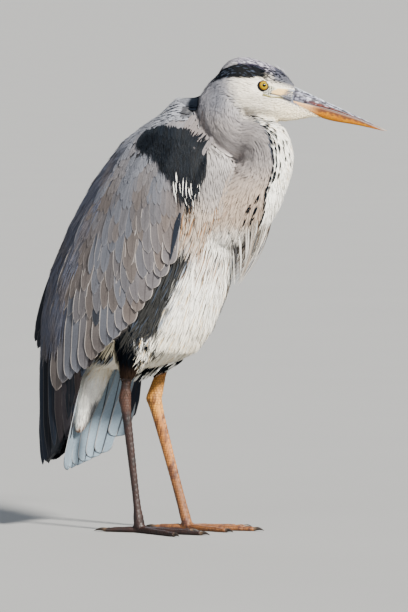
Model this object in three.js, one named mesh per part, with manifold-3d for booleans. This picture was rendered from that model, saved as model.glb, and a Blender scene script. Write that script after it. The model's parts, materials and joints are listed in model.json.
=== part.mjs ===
// A grey heron at rest: hunched on both legs, neck drawn into an S, head turned a little to its left.
// Millimetres. The bird faces +X, its right side is -Y, +Z is up and its soles stand on z = 0.
// The solids give the outline of the plumage, from the tip of the bill to the tips of the feathers.

import * as THREE from 'three';
import { mergeVertices } from 'three/addons/utils/BufferGeometryUtils.js';
import Module from 'manifold-3d';

const wasm = await Module();
wasm.setup();

// ---------------------------------------------------------------- driving dimensions

const GAP = 0.3; // between neighbouring pieces
const GAP_CUT = 0.4; // growth of a piece when it is cut out of its neighbour
const WING_THICK = 8; // folded wing and mantle, over the trunk

const HEAD_YAW = 22; // degrees, to the bird's left
const HEAD_PITCH = 17.4; // degrees, bill below the horizontal
const EYE_HEIGHT = 536.8; // above the floor
const EYE_FORWARD = 55; // ahead of the axis that the neck turns about
const NECK_AXIS_X = 86; // vertical axis that head and neck turn about
const CHIN_FOLD = [123.6, 502]; // x and z of the crease under the chin
const NAPE_FOLD = [112.8, 448]; // x and z of the crease behind the neck's loop

const EYE_RADIUS = 8;
const EYE_SIDE = 14; // from the middle of the head to the middle of the eye
const BILL_TIP = [158.3, -6.4]; // in the head's frame, whose origin is between the eyes

const SOLE = 0; // all toes lie on this level
const FOOT_TOP = 10; // where the shank meets the toes

const LEGS = {
  r: {
    side: -1,
    feathersEnd: [-18, 31, 185],
    ankle: [-21, 29, 160],
    foot: [-2, 30, FOOT_TOP],
    ankleRadius: [7.6, 6.8],
    shankRadius: [4.9, 4.4],
    shinRadius: [5.4, 4.6],
    footYaw: -4,
  },
  l: {
    side: 1,
    feathersEnd: [4, 33, 201],
    ankle: [-7, 28, 158],
    foot: [35, 30, FOOT_TOP],
    ankleRadius: [10, 8],
    shankRadius: [7, 5.2],
    shinRadius: [7, 5.4],
    footYaw: 6,
  },
};

// name, direction in degrees from the middle line towards the outside, length without the claw, claw
const TOES = [
  ['toe_inner', -24, 62, 11],
  ['toe_middle', 2, 84, 12],
  ['toe_outer', 28, 72, 10],
  ['hallux', 172, 42, 15],
];

// ---------------------------------------------------------------- finishes

const finish = (color, roughness, metalness = 0) =>
  new THREE.MeshStandardMaterial({ color, roughness, metalness });

const FINISHES = {
  face: finish('#e9e2d6', 0.85),
  neck: finish('#c9bcae', 0.85),
  white: finish('#efe9dc', 0.85),
  grey: finish('#9a9ba3', 0.8),
  slate: finish('#7f8590', 0.75),
  tail: finish('#aab6c0', 0.8),
  billUpper: finish('#7f7b80', 0.45),
  billLower: finish('#e6962e', 0.4),
  eye: finish('#f2c714', 0.1),
  darkLeg: finish('#5a3a2c', 0.5),
  tanLeg: finish('#c98c50', 0.55),
  claw: finish('#2c2522', 0.4),
};

// ---------------------------------------------------------------- smooth rows and lofts

/** The row of numbers a share t (0 to 1) of the way along rows, on a Catmull-Rom curve. */
function rowAt(rows, t) {
  const last = rows.length - 1;
  const place = Math.min(t * last, last - 1e-9);
  const i = Math.floor(place);
  const f = place - i;
  const [a, b, c, d] = [rows[Math.max(i - 1, 0)], rows[i], rows[i + 1], rows[Math.min(i + 2, last)]];
  return b.map((_, k) => {
    const slopeB = (c[k] - a[k]) / 2;
    const slopeC = (d[k] - b[k]) / 2;
    const bend = 2 * (b[k] - c[k]) + slopeB + slopeC;
    return b[k] + f * (slopeB + f * (c[k] - b[k] - slopeB - bend + f * bend));
  });
}

/** count + 1 rows, evenly spread along rows. */
function spread(rows, count) {
  return Array.from({ length: count + 1 }, (_, i) => rowAt(rows, i / count));
}

/** A closed geometry from points and triangles, turned so that its faces point out. */
function closed(points, faces) {
  let volume = 0;
  for (const [a, b, c] of faces) {
    volume += points[a].dot(new THREE.Vector3().crossVectors(points[b], points[c]));
  }
  const index = faces.flatMap(([a, b, c]) => (volume > 0 ? [a, b, c] : [a, c, b]));
  const geometry = new THREE.BufferGeometry();
  geometry.setAttribute('position', new THREE.Float32BufferAttribute(points.flatMap((p) => p.toArray()), 3));
  geometry.setIndex(index);
  return geometry;
}

/** A skin over rings of equal count, closed at both ends by a fan to the ring's middle. */
function loft(rings) {
  const count = rings[0].length;
  const points = rings.flat();
  const faces = [];
  for (let r = 0; r + 1 < rings.length; r++) {
    for (let k = 0; k < count; k++) {
      const a = r * count + k;
      const b = r * count + ((k + 1) % count);
      faces.push([a, b, b + count], [a, b + count, a + count]);
    }
  }
  for (const [ring, flip] of [[0, true], [rings.length - 1, false]]) {
    const middle = new THREE.Vector3();
    rings[ring].forEach((p) => middle.addScaledVector(p, 1 / count));
    const centre = points.push(middle) - 1;
    for (let k = 0; k < count; k++) {
      const a = ring * count + k;
      const b = ring * count + ((k + 1) % count);
      faces.push(flip ? [centre, b, a] : [centre, a, b]);
    }
  }
  return closed(points, faces);
}

/** A sheet between two grids of points (rows of equal length), closed along its four edges. */
function sheet(outer, inner) {
  const rows = outer.length;
  const columns = outer[0].length;
  const points = [...outer.flat(), ...inner.flat()];
  const half = rows * columns;
  const faces = [];
  const quad = (a, b, c, d) => faces.push([a, b, c], [a, c, d]);
  const at = (r, c) => r * columns + c;
  for (let r = 0; r + 1 < rows; r++) {
    for (let c = 0; c + 1 < columns; c++) {
      const [p, q, s, t] = [at(r, c), at(r, c + 1), at(r + 1, c + 1), at(r + 1, c)];
      quad(p, q, s, t);
      quad(half + p, half + t, half + s, half + q);
    }
    const [left, leftNext, right, rightNext] = [at(r, 0), at(r + 1, 0), at(r, columns - 1), at(r + 1, columns - 1)];
    quad(left, leftNext, half + leftNext, half + left);
    quad(right, half + right, half + rightNext, rightNext);
  }
  for (let c = 0; c + 1 < columns; c++) {
    const [top, topNext, low, lowNext] = [at(0, c), at(0, c + 1), at(rows - 1, c), at(rows - 1, c + 1)];
    quad(top, half + top, half + topNext, topNext);
    quad(low, lowNext, half + lowNext, half + low);
  }
  return closed(points, faces);
}

/** A sheet of even thickness about a grid of points; growing it moves its faces and edges out. */
function thickened(grid, thickness, grow) {
  const [lastRow, lastColumn] = [grid.length - 1, grid[0].length - 1];
  const clamp = (i, last) => Math.min(Math.max(i, 0), last);
  const step = (r, c, dr, dc) => {
    const ahead = grid[clamp(r + dr, lastRow)][clamp(c + dc, lastColumn)];
    const behind = grid[clamp(r - dr, lastRow)][clamp(c - dc, lastColumn)];
    return ahead.clone().sub(behind).normalize();
  };
  const side = (sign) => grid.map((row, r) => row.map((p, c) => {
    const [down, across] = [step(r, c, 1, 0), step(r, c, 0, 1)];
    const normal = new THREE.Vector3().crossVectors(down, across).normalize();
    const edgeDown = r === 0 ? -grow : r === lastRow ? grow : 0;
    const edgeAcross = c === 0 ? -grow : c === lastColumn ? grow : 0;
    return p.clone()
      .addScaledVector(normal, sign * (thickness / 2 + grow))
      .addScaledVector(down, edgeDown)
      .addScaledVector(across, edgeAcross);
  }));
  return sheet(side(1), side(-1));
}

/** Rings over rows of [back x, back z, front x, front z, half width, turn].
    Each ring stands on the chord from back to front; turn is the share of the head's yaw. */
function chordRings(rows, count, sides, grow = 0) {
  const made = spread(rows, count);
  const centres = made.map(([backX, backZ, frontX, frontZ]) =>
    new THREE.Vector3((backX + frontX) / 2, 0, (backZ + frontZ) / 2));
  return made.map(([backX, backZ, frontX, frontZ, halfWidth, turn = 0], r) => {
    const along = new THREE.Vector3((frontX - backX) / 2, 0, (frontZ - backZ) / 2);
    const outward = endShift(centres, r, grow);
    along.multiplyScalar(1 + grow / along.length());
    return Array.from({ length: sides }, (_, k) => {
      const angle = (2 * Math.PI * k) / sides;
      const p = centres[r].clone().addScaledVector(along, Math.cos(angle)).add(outward);
      p.y = (halfWidth + grow) * Math.sin(angle);
      return turned(p, turn);
    });
  });
}

/** How far the first and last of a row of rings move out along their line when a piece grows. */
function endShift(centres, r, grow) {
  const last = centres.length - 1;
  if (r > 0 && r < last) return new THREE.Vector3();
  const inner = centres[r === 0 ? 1 : last - 1];
  return centres[r].clone().sub(inner).setLength(grow);
}

/** A point of the middle plane's frame, turned by a share of the head's yaw. */
function turned(p, share) {
  const angle = THREE.MathUtils.degToRad(HEAD_YAW * share);
  const x = p.x - NECK_AXIS_X;
  p.set(
    NECK_AXIS_X + x * Math.cos(angle) - p.y * Math.sin(angle),
    x * Math.sin(angle) + p.y * Math.cos(angle),
    p.z,
  );
  return p;
}

/** Level rings over rows of [x, y, z, fore-and-aft radius, side radius]. */
function levelRings(rows, count, sides, grow = 0) {
  const made = spread(rows, count);
  return made.map(([x, y, z, deep, wide], r) => {
    const end = r === 0 ? 1 : r === made.length - 1 ? -1 : 0;
    return Array.from({ length: sides }, (_, k) => {
      const angle = (2 * Math.PI * k) / sides;
      return new THREE.Vector3(
        x + (deep + grow) * Math.cos(angle),
        y + (wide + grow) * Math.sin(angle),
        z + end * grow,
      );
    });
  });
}

// ---------------------------------------------------------------- joins and cuts

/** A closed geometry as a solid that can be joined and cut. */
function solid(geometry) {
  const bare = geometry.clone();
  bare.deleteAttribute('normal');
  bare.deleteAttribute('uv');
  const merged = mergeVertices(bare, 1e-4);
  return new wasm.Manifold(
    new wasm.Mesh({
      numProp: 3,
      vertProperties: new Float32Array(merged.attributes.position.array),
      triVerts: new Uint32Array(merged.index.array),
    }),
  );
}

/** A solid back as a geometry; of several bodies the largest is kept. */
function geometryOf(body) {
  const parts = body.decompose();
  parts.sort((a, b) => b.volume() - a.volume());
  const mesh = parts[0].getMesh();
  const geometry = new THREE.BufferGeometry();
  geometry.setAttribute('position', new THREE.BufferAttribute(new Float32Array(mesh.vertProperties), 3));
  geometry.setIndex(new THREE.BufferAttribute(new Uint32Array(mesh.triVerts), 1));
  return geometry;
}

// ---------------------------------------------------------------- the group and its frames

const heron = new THREE.Group();

const headFrame = new THREE.Group();
headFrame.rotation.order = 'ZYX';
headFrame.rotation.z = THREE.MathUtils.degToRad(HEAD_YAW);
headFrame.rotation.y = THREE.MathUtils.degToRad(HEAD_PITCH);
headFrame.position.copy(turned(new THREE.Vector3(NECK_AXIS_X + EYE_FORWARD, 0, EYE_HEIGHT), 1));
heron.add(headFrame);

const placed = []; // the grown solid of every piece so far, in the bird's frame

/** Adds a piece to the bird. make(grow) gives its geometry in the frame of parent; the piece is cut
    by all pieces placed before it, and its grown shape cuts all that come later. */
function place(name, material, make, parent = heron) {
  parent.updateWorldMatrix(true, false);
  const toBird = parent.matrixWorld;
  const inBird = (grow) => solid(make(grow).applyMatrix4(toBird));
  let body = inBird(0);
  const near = placed.filter((other) => touches(other.boundingBox(), body.boundingBox()));
  near.forEach((other) => {
    body = body.subtract(other);
  });
  placed.push(inBird(GAP_CUT));
  const mesh = new THREE.Mesh(geometryOf(body).applyMatrix4(toBird.clone().invert()), material);
  mesh.name = name;
  parent.add(mesh);
}

function touches(a, b) {
  return [0, 1, 2].every((k) => a.min[k] < b.max[k] && b.min[k] < a.max[k]);
}

// ---------------------------------------------------------------- head, bill and eyes

/** Rings across the head's frame from rows of [top x, top z, bottom x, bottom z, half width]. */
function headRings(rows, count, sides, grow, shape = 'oval') {
  const rings = chordRings(rows, count, sides, grow);
  return shape === 'oval' ? rings : rings.map((ring) => flattened(ring, shape));
}

/** Turns an oval ring into a dome: 'roof' is flat below, 'keel' is flat above. */
function flattened(ring, shape) {
  const heights = ring.map((p) => p.z);
  const [low, high] = [Math.min(...heights), Math.max(...heights)];
  const middle = (low + high) / 2;
  return ring.map((p) => {
    const above = p.z >= middle;
    const q = p.clone();
    if (shape === 'roof') q.z = above ? low + (p.z - middle) * 2 : low;
    else q.z = above ? high : high - (middle - p.z) * 2;
    return q;
  });
}

const EYE_SEGMENTS = 12;

for (const [name, side] of [['eye_r', -1], ['eye_l', 1]]) {
  place(
    name,
    FINISHES.eye,
    (grow) => {
      const ball = new THREE.SphereGeometry(EYE_RADIUS + grow, EYE_SEGMENTS, EYE_SEGMENTS / 2);
      return ball.translate(0, side * EYE_SIDE, 0);
    },
    headFrame,
  );
}

const [TIP_X, TIP_Z] = BILL_TIP;

const UPPER_BILL = [
  [24, 12, 24, -6.2, 9.6],
  [38, 10.6, 38, -5.2, 8.9],
  [62, 7.4, 62, -3.8, 7.3],
  [90, 3.6, 90, -2.4, 5.5],
  [122, -0.9, 122, -3.4, 3.3],
  [TIP_X - 6, TIP_Z + 0.9, TIP_X - 6, TIP_Z - 0.1, 1.1],
  [TIP_X, TIP_Z + 0.1, TIP_X, TIP_Z - 0.4, 0.3],
];

const LOWER_BILL = [
  [24, -6.9, 24, -13.6, 8.6],
  [38, -5.9, 38, -14.2, 8.1],
  [62, -4.5, 62, -14.8, 6.7],
  [90, -3.1, 90, -15, 5],
  [122, -4.1, 122, -10.8, 2.9],
  [TIP_X - 9, TIP_Z - 0.7, TIP_X - 9, TIP_Z - 1.9, 1],
  [TIP_X - 3, TIP_Z - 0.9, TIP_X - 3, TIP_Z - 1.3, 0.3],
];

place('bill_upper', FINISHES.billUpper, (grow) => loft(headRings(UPPER_BILL, 9, 12, grow, 'roof')), headFrame);
place('bill_lower', FINISHES.billLower, (grow) => loft(headRings(LOWER_BILL, 9, 12, grow, 'keel')), headFrame);

const HEAD = [
  [-54, -6, -14, -38, 21.5],
  [-54, 4, -6, -38.5, 22.5],
  [-47, 18, 3, -38.5, 22.5],
  [-31, 27.5, 13, -37.5, 21.5],
  [-8, 28.5, 24, -36, 19],
  [15, 26, 38, -33, 14.2],
  [31, 17.5, 51, -27.5, 9],
  [40, 9.5, 63, -21, 7],
  [58, -6, 74, -16.5, 5.2],
  [76, -11, 80, -14.6, 2.6],
];

place('head', FINISHES.face, (grow) => loft(headRings(HEAD, 14, 14, grow)), headFrame);

// ---------------------------------------------------------------- neck

/** Rows that fan about a crease: from a point just off the crease to each outer point. */
function fan([pivotX, pivotZ], outer, offset) {
  return outer.map(([x, z, halfWidth, turn]) => {
    const reach = Math.hypot(x - pivotX, z - pivotZ);
    const share = offset / reach;
    return [pivotX + (x - pivotX) * share, pivotZ + (z - pivotZ) * share, x, z, halfWidth, turn];
  });
}

const CREASE = 1.4; // how far the skin stays off the line of a crease

// outer edge of the neck: x, z, half width, share of the head's turn
const NAPE = [
  [94, 556, 22, 1],
  [70, 534, 23.5, 1],
  [62, 513, 25, 0.95],
  [65, 490, 26, 0.9],
  [78, 467, 26.5, 0.84],
  [95, 453, 27, 0.78],
  [112, 447, 27, 0.72],
];

const FORENECK = [
  [124, 500, 27, 0.7],
  [147, 499, 27.5, 0.62],
  [168, 489, 28, 0.55],
  [178, 468, 29, 0.48],
  [181, 444, 30.5, 0.4],
  [174, 415, 32, 0.3],
];

// chords of the neck's base: back x, back z, front x, front z, half width, turn
const NECK_BASE = [
  fan(NAPE_FOLD, FORENECK, CREASE).at(-1),
  [94, 428, 163, 388, 37, 0.2],
  [76, 411, 149, 367, 42, 0.1],
  [60, 392, 134, 353, 45, 0],
  [52, 372, 120, 344, 44, 0],
];

place('neck_upper', FINISHES.neck, (grow) => loft(chordRings(fan(CHIN_FOLD, NAPE, CREASE), 8, 14, grow)));
place('neck_mid', FINISHES.neck, (grow) => loft(chordRings(fan(NAPE_FOLD, FORENECK, CREASE), 7, 14, grow)));
place('neck_lower', FINISHES.neck, (grow) => loft(chordRings(NECK_BASE, 5, 14, grow)));

const BREAST_PLUMES = [
  [106, 364, 148, 366, 24, 0],
  [110, 343, 135, 342, 16, 0],
  [112, 320, 125, 319, 9, 0],
  [114, 297, 118, 296, 2, 0],
];

place('breast_plumes', FINISHES.white, (grow) => loft(chordRings(BREAST_PLUMES, 5, 10, grow)));

// ---------------------------------------------------------------- trunk, mantle and wings

// chords from back to belly: back x, back z, front x, front z, half width
const TRUNK_UPPER = [
  [42, 512, 58, 504, 10],
  [25, 502, 74, 480, 34],
  [0, 487, 111, 452, 50],
  [-26, 468, 121, 415, 60],
  [-64, 420, 131, 378, 67],
  [-94, 367, 117, 348, 69],
];

const TRUNK = [
  ...TRUNK_UPPER,
  [-112, 316, 100, 290, 68],
  [-110, 268, 80, 243, 62],
  [-100, 238, 60, 217, 54],
  [-92, 219, 20, 199, 42],
  [-84, 204, -34, 193, 24],
];

// the space that the folded wings lie around, which runs on past the trunk to their tips
const WING_SPACE = [
  ...TRUNK_UPPER,
  [-119, 312, 100, 286, 69],
  [-130, 258, 46, 222, 62],
  [-132, 200, -44, 166, 46],
  [-132, 142, -86, 120, 29],
  [-132, 88, -114, 82, 10],
];

const SPACE_STEPS = 10; // one ring for each row of TRUNK and WING_SPACE, so that the two lie on each other
const SPACE_SIDES = 16;

/** The shell that wings and mantle are cut from. */
function wingShell(grow) {
  const outer = solid(loft(chordRings(WING_SPACE, SPACE_STEPS, SPACE_SIDES, WING_THICK + grow)));
  const inner = solid(loft(chordRings(WING_SPACE, SPACE_STEPS, SPACE_SIDES, GAP - grow)));
  return outer.subtract(inner);
}

/** A prism across the bird, from a side outline, between two values of y. */
function sidePrism(outline, fromY, toY) {
  const shape = new THREE.Shape(outline.map(([x, z]) => new THREE.Vector2(x, z)));
  const prism = new THREE.ExtrudeGeometry(shape, { depth: toY - fromY, bevelEnabled: false });
  return prism.rotateX(Math.PI / 2).translate(0, toY, 0); // shape y becomes z, the depth runs from toY to fromY
}

// where the long feathers of the mantle end over the wing
const MANTLE_EDGE = spread(
  [[84, 500], [46, 497], [16, 486], [-8, 458], [-27, 418], [-48, 380], [-68, 338], [-86, 292], [-104, 254]],
  10,
);
// the wing from its bend at the shoulder along its lower edge to its tip
const WING_EDGE = [
  ...spread([[80, 490], [92, 466], [82, 428], [69, 384], [53, 326], [0, 252], [-64, 198], [-92, 172]], 11),
  ...spread([[-88, 150], [-100, 108], [-124, 82], [-142, 74]], 4),
];
const BEHIND = -200;

const mantleOutline = [...MANTLE_EDGE, [-160, 236], [BEHIND, 300], [BEHIND, 560], [60, 560], [84, 540]];
const wingOutline = [
  ...MANTLE_EDGE.map(([x, z]) => [x + GAP, z - GAP]),
  [-160, 236 - 2 * GAP],
  [BEHIND, 220],
  [BEHIND, 60],
  ...[...WING_EDGE].reverse(),
];
const REACH = 110; // past the widest part of the bird
const MIDLINE = 0.3; // half the slit between the two wings over the back

/** The part of the wing shell inside a side outline. */
function shellWithin(outline, fromY, toY, grow) {
  return geometryOf(wingShell(grow).intersect(solid(sidePrism(outline, fromY, toY))));
}

place('trunk', FINISHES.white, (grow) => loft(chordRings(TRUNK, SPACE_STEPS, SPACE_SIDES, grow)));
place('mantle', FINISHES.grey, (grow) => shellWithin(mantleOutline, -REACH, REACH, grow));
place('wing_r', FINISHES.slate, (grow) => shellWithin(wingOutline, -REACH, -MIDLINE, grow));
place('wing_l', FINISHES.slate, (grow) => shellWithin(wingOutline, MIDLINE, REACH, grow));

// ---------------------------------------------------------------- tail and the coverts under it

const UNDERTAIL = [
  [-84, 204, -50, 192, 22],
  [-92, 180, -60, 172, 20],
  [-98, 152, -72, 146, 15],
  [-99, 128, -84, 124, 8],
  [-97, 118, -91, 117, 3],
];

place('undertail', FINISHES.white, (grow) => loft(chordRings(UNDERTAIL, 7, 12, grow)));

const TAIL_ROOT = [-82, 222]; // x and z on the middle line
const TAIL_END = [-108, 70];
// x, half width and z of the outermost feather's root and tip; the tail is twisted, with its left half forward
const TAIL_SIDES = {
  right: { root: [-78, 10, 215], end: [-94, 46, 88] },
  left: { root: [-16, 32, 200], end: [-74, 48, 92] },
};
const TAIL_THICK = 4;
const TAIL_STEPS = 5;
const TAIL_COLUMNS = 6;

/** The tail's feathers fan out from the middle line, with the outer ones furthest forward. */
function tailMiddle() {
  return Array.from({ length: TAIL_STEPS + 1 }, (_, r) => {
    const s = r / TAIL_STEPS;
    const middle = [0, 1].map((k) => THREE.MathUtils.lerp(TAIL_ROOT[k], TAIL_END[k], s));
    return Array.from({ length: TAIL_COLUMNS + 1 }, (__, c) => {
      const across = (2 * c) / TAIL_COLUMNS - 1;
      const { root, end } = across < 0 ? TAIL_SIDES.right : TAIL_SIDES.left;
      const side = [0, 1, 2].map((k) => THREE.MathUtils.lerp(root[k], end[k], s));
      const forward = Math.abs(across) ** 1.6;
      return new THREE.Vector3(
        THREE.MathUtils.lerp(middle[0], side[0], forward),
        across * side[1],
        THREE.MathUtils.lerp(middle[1], side[2], forward),
      );
    });
  });
}

place('tail', FINISHES.tail, (grow) => thickened(tailMiddle(), TAIL_THICK, grow));

// ---------------------------------------------------------------- legs and feet

/** A toe along +X of its own frame: joints swell a little and the sole is flat. */
function toe(length, grow) {
  const STEPS = 7;
  const rings = Array.from({ length: STEPS + 1 }, (_, r) => {
    const s = r / STEPS;
    const swell = 1 + 0.06 * Math.cos(2 * Math.PI * s * 3);
    const wide = THREE.MathUtils.lerp(4.6, 3, s) * swell;
    const high = THREE.MathUtils.lerp(4.4, 2.9, s) * swell;
    const middle = high * 0.78;
    const end = r === 0 ? -grow : r === STEPS ? grow : 0;
    return Array.from({ length: 8 }, (__, k) => {
      const angle = (2 * Math.PI * (k + 0.5)) / 8;
      const z = middle + (high + grow) * Math.sin(angle);
      return new THREE.Vector3(s * length + end, (wide + grow) * Math.cos(angle), Math.max(z, SOLE - grow));
    });
  });
  return loft(rings);
}

/** A claw along +X, arched and pointed, with its tip just off the ground. */
function claw(from, length, grow) {
  const STEPS = 3;
  const rings = Array.from({ length: STEPS + 1 }, (_, r) => {
    const s = r / STEPS;
    const radius = THREE.MathUtils.lerp(2.3, 0.45, s ** 0.8) + grow;
    const middle = 2.6 + 0.9 * Math.sin(Math.PI * s * 0.9) - 1.7 * s;
    const end = r === 0 ? -grow : r === STEPS ? grow : 0;
    return Array.from({ length: 6 }, (__, k) => {
      const angle = (2 * Math.PI * (k + 0.5)) / 6;
      const z = middle + radius * 1.1 * Math.sin(angle);
      return new THREE.Vector3(from + s * length + end, radius * 0.8 * Math.cos(angle), Math.max(z, SOLE - grow));
    });
  });
  return loft(rings);
}

for (const [tag, leg] of Object.entries(LEGS)) {
  const { side, feathersEnd, ankle, foot, ankleRadius, shankRadius, shinRadius, footYaw } = leg;
  const at = ([x, y, z], deep, wide) => [x, side * y, z, deep, wide];
  const between = (a, b, share) => a.map((v, k) => THREE.MathUtils.lerp(v, b[k], share));
  const bare = tag === 'r' ? FINISHES.darkLeg : FINISHES.tanLeg;
  const [endX, endY, endZ] = feathersEnd;

  const thigh = [
    at([endX + 16, endY + 10, endZ + 78], 38, 18),
    at([endX + 13, endY + 8, endZ + 48], 34, 22),
    at([endX + 9, endY + 4, endZ + 23], 23, 17),
    at([endX + 3, endY + 1, endZ + 7], 12, 10),
    at([endX, endY, endZ], shinRadius[0] + 3, shinRadius[1] + 3),
  ];
  place(`thigh_${tag}`, FINISHES.white, (grow) => loft(levelRings(thigh, 6, 12, grow)));

  const shin = [
    at(between(feathersEnd, ankle, -0.08), shinRadius[0], shinRadius[1]),
    at(between(feathersEnd, ankle, 0.35), shinRadius[0], shinRadius[1]),
    at(between(feathersEnd, ankle, 0.75), ankleRadius[0] * 0.9, ankleRadius[1] * 0.9),
    at(between(feathersEnd, ankle, 1), ankleRadius[0], ankleRadius[1]),
  ];
  place(`tibia_${tag}`, bare, (grow) => loft(levelRings(shin, 5, 10, grow)));

  const shank = [
    at(between(ankle, foot, 0.004), ankleRadius[0], ankleRadius[1]),
    at(between(ankle, foot, 0.1), shankRadius[0] * 1.14, shankRadius[1] * 1.14),
    at(between(ankle, foot, 0.3), shankRadius[0], shankRadius[1]),
    at(between(ankle, foot, 0.6), shankRadius[0] * 0.86, shankRadius[1] * 0.92),
    at(between(ankle, foot, 0.85), shankRadius[0] * 0.84, shankRadius[1] * 0.95),
    at(between(ankle, foot, 0.96), 6.2, 6.4),
    at(between(ankle, foot, 1.03), 6, 6.2),
  ];
  place(`tarsus_${tag}`, bare, (grow) => loft(levelRings(shank, 10, 9, grow)));

  const footFrame = new THREE.Group();
  footFrame.position.set(foot[0], side * foot[1], SOLE);
  footFrame.rotation.z = THREE.MathUtils.degToRad(footYaw);
  heron.add(footFrame);
  for (const [name, direction, length, clawLength] of TOES) {
    const toeFrame = new THREE.Group();
    toeFrame.rotation.z = THREE.MathUtils.degToRad(side * direction);
    footFrame.add(toeFrame);
    place(`${name}_${tag}`, bare, (grow) => toe(length, grow), toeFrame);
    place(`claw_${name}_${tag}`, FINISHES.claw, (grow) => claw(length + 0.5, clawLength, grow), toeFrame);
  }
}

// ---------------------------------------------------------------- origin under the middle of the box

const bounds = new THREE.Box3().setFromObject(heron, true);
const middle = bounds.getCenter(new THREE.Vector3());
heron.position.set(-middle.x, -middle.y, -bounds.min.z);

export default heron;
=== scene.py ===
"""A grey heron at rest, life size: skin, feathers, scales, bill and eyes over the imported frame.

Shapes are worked out in millimetres in the bird's own frame: it faces +X, its left side is +Y, and its
soles stand on z = 0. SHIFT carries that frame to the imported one, in metres. Tables give places in that
frame too, and those of the head in the head's own: forward, left and up from between the eyes.
"""

import json
import math

import bpy
import numpy as np
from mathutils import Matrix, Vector
from mathutils.bvhtree import BVHTree

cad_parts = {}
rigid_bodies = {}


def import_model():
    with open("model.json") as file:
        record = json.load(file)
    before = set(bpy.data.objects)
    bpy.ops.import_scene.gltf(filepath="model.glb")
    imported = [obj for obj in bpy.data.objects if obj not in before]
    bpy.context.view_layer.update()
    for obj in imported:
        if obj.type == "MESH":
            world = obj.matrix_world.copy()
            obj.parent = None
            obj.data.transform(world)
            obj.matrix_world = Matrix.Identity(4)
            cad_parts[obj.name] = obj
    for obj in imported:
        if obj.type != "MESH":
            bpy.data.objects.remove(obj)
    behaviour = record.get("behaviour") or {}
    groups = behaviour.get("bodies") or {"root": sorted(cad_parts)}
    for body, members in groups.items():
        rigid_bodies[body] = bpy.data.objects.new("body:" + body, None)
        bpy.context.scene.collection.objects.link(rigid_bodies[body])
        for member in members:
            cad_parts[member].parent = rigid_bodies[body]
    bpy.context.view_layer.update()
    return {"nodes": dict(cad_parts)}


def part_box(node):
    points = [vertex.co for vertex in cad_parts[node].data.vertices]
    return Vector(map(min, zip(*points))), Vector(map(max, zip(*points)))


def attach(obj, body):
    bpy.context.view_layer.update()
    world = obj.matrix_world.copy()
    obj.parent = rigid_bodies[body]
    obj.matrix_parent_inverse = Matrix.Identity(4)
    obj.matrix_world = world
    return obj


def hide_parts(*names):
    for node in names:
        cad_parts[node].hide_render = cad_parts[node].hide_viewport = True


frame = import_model()

MM = 0.001
HEAD_YAW = math.radians(22)  # to the bird's left
HEAD_PITCH = math.radians(17.4)  # bill down
NECK_AXIS_X = 86.0  # the upright axis that head and neck turn about
EYE_FORWARD = 55.0
EYE_HEIGHT = 536.8
EYE_RADIUS = 8.0
EYE_SIDE = 14.0
HEAD_ORIGIN = np.array([
    NECK_AXIS_X + EYE_FORWARD * math.cos(HEAD_YAW),
    EYE_FORWARD * math.sin(HEAD_YAW),
    EYE_HEIGHT,
])  # between the eyes


def eye_middle():
    """The point between the two eyes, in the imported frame."""
    corners = [corner for node in ("eye_r", "eye_l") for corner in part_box(node)]
    return np.mean(np.array(corners, float), axis=0)


SHIFT = eye_middle() - HEAD_ORIGIN * MM
SHIFT[2] = 0.0

SIDES = {"r": -1.0, "l": 1.0}
TOES = ("toe_inner", "toe_middle", "toe_outer", "hallux")
LEG_NODES = [f"{part}_{tag}" for tag in SIDES for part in ("tibia", "tarsus") + TOES]
COAT_DEPTH = {  # the nodes under feathers, and how far the skin lies inside their outline
    "head": 1.3, "neck_upper": 2.4, "neck_mid": 2.6, "neck_lower": 3.6, "trunk": 4.5, "mantle": 3.2,
    "wing_r": 3.2, "wing_l": 3.2, "undertail": 3.0, "thigh_r": 3.4, "thigh_l": 3.4,
}
WING_UNDERSIDE_DEPTH = 1.2
LEG_DEPTH = 0.35  # under the scales
FLESH_NODES = list(COAT_DEPTH) + LEG_NODES

# ---------------------------------------------------------------- numbers and colours


def ramp(value, low, high):
    """0 below low, 1 above high, smooth between."""
    share = np.clip((value - low) / (high - low), 0.0, 1.0)
    return share * share * (3.0 - 2.0 * share)


def fall(value, low, high):
    """1 below low, 0 above high, smooth between."""
    return 1.0 - ramp(value, low, high)


def band(value, low, high, soft):
    """1 between low and high, fading over soft on both sides."""
    return ramp(value, low - soft, low + soft) * fall(value, high - soft, high + soft)


def bell(value, width):
    return np.exp(-(value / width) ** 2)


def stack(*parts):
    """Arrays or numbers side by side along a new last axis."""
    return np.stack(np.broadcast_arrays(*parts), axis=-1)


def mix(a, b, share):
    share = np.asarray(share)[..., None]
    return a * (1.0 - share) + b * share


def painted(ground, *layers):
    """The ground's colour under layers of (colour, share)."""
    for colour, share in layers:
        ground = mix(ground, colour, share)
    return ground


def unit(vectors):
    return vectors / np.maximum(np.linalg.norm(vectors, axis=-1, keepdims=True), 1e-9)


def paint(red, green, blue):
    """A colour from 0 to 255 as the eye sees it, made linear."""
    share = np.array([red, green, blue], float) / 255.0
    return np.where(share <= 0.04045, share / 12.92, ((share + 0.055) / 1.055) ** 2.4)


def along_line(points):
    """A function that reads the second value of a broken line of (key, value) points."""
    keys, values = np.array(sorted(points), float).T
    return lambda key: np.interp(key, keys, values)


def ripple(points, size, seed, stretch=(1, 1, 1)):
    """Smooth noise from about -1 to 1 with waves of about size millimetres; a small stretch draws the
    waves out along its axis."""
    rng = np.random.default_rng(seed)
    points = points * np.array(stretch, float)
    total = np.zeros(len(points))
    for _ in range(7):
        direction = unit(rng.normal(size=3))
        wave = size * rng.uniform(0.6, 1.7)
        total += np.sin(points @ direction * (2 * math.pi / wave) + rng.uniform(0, 2 * math.pi))
    return total / 3.5


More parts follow.
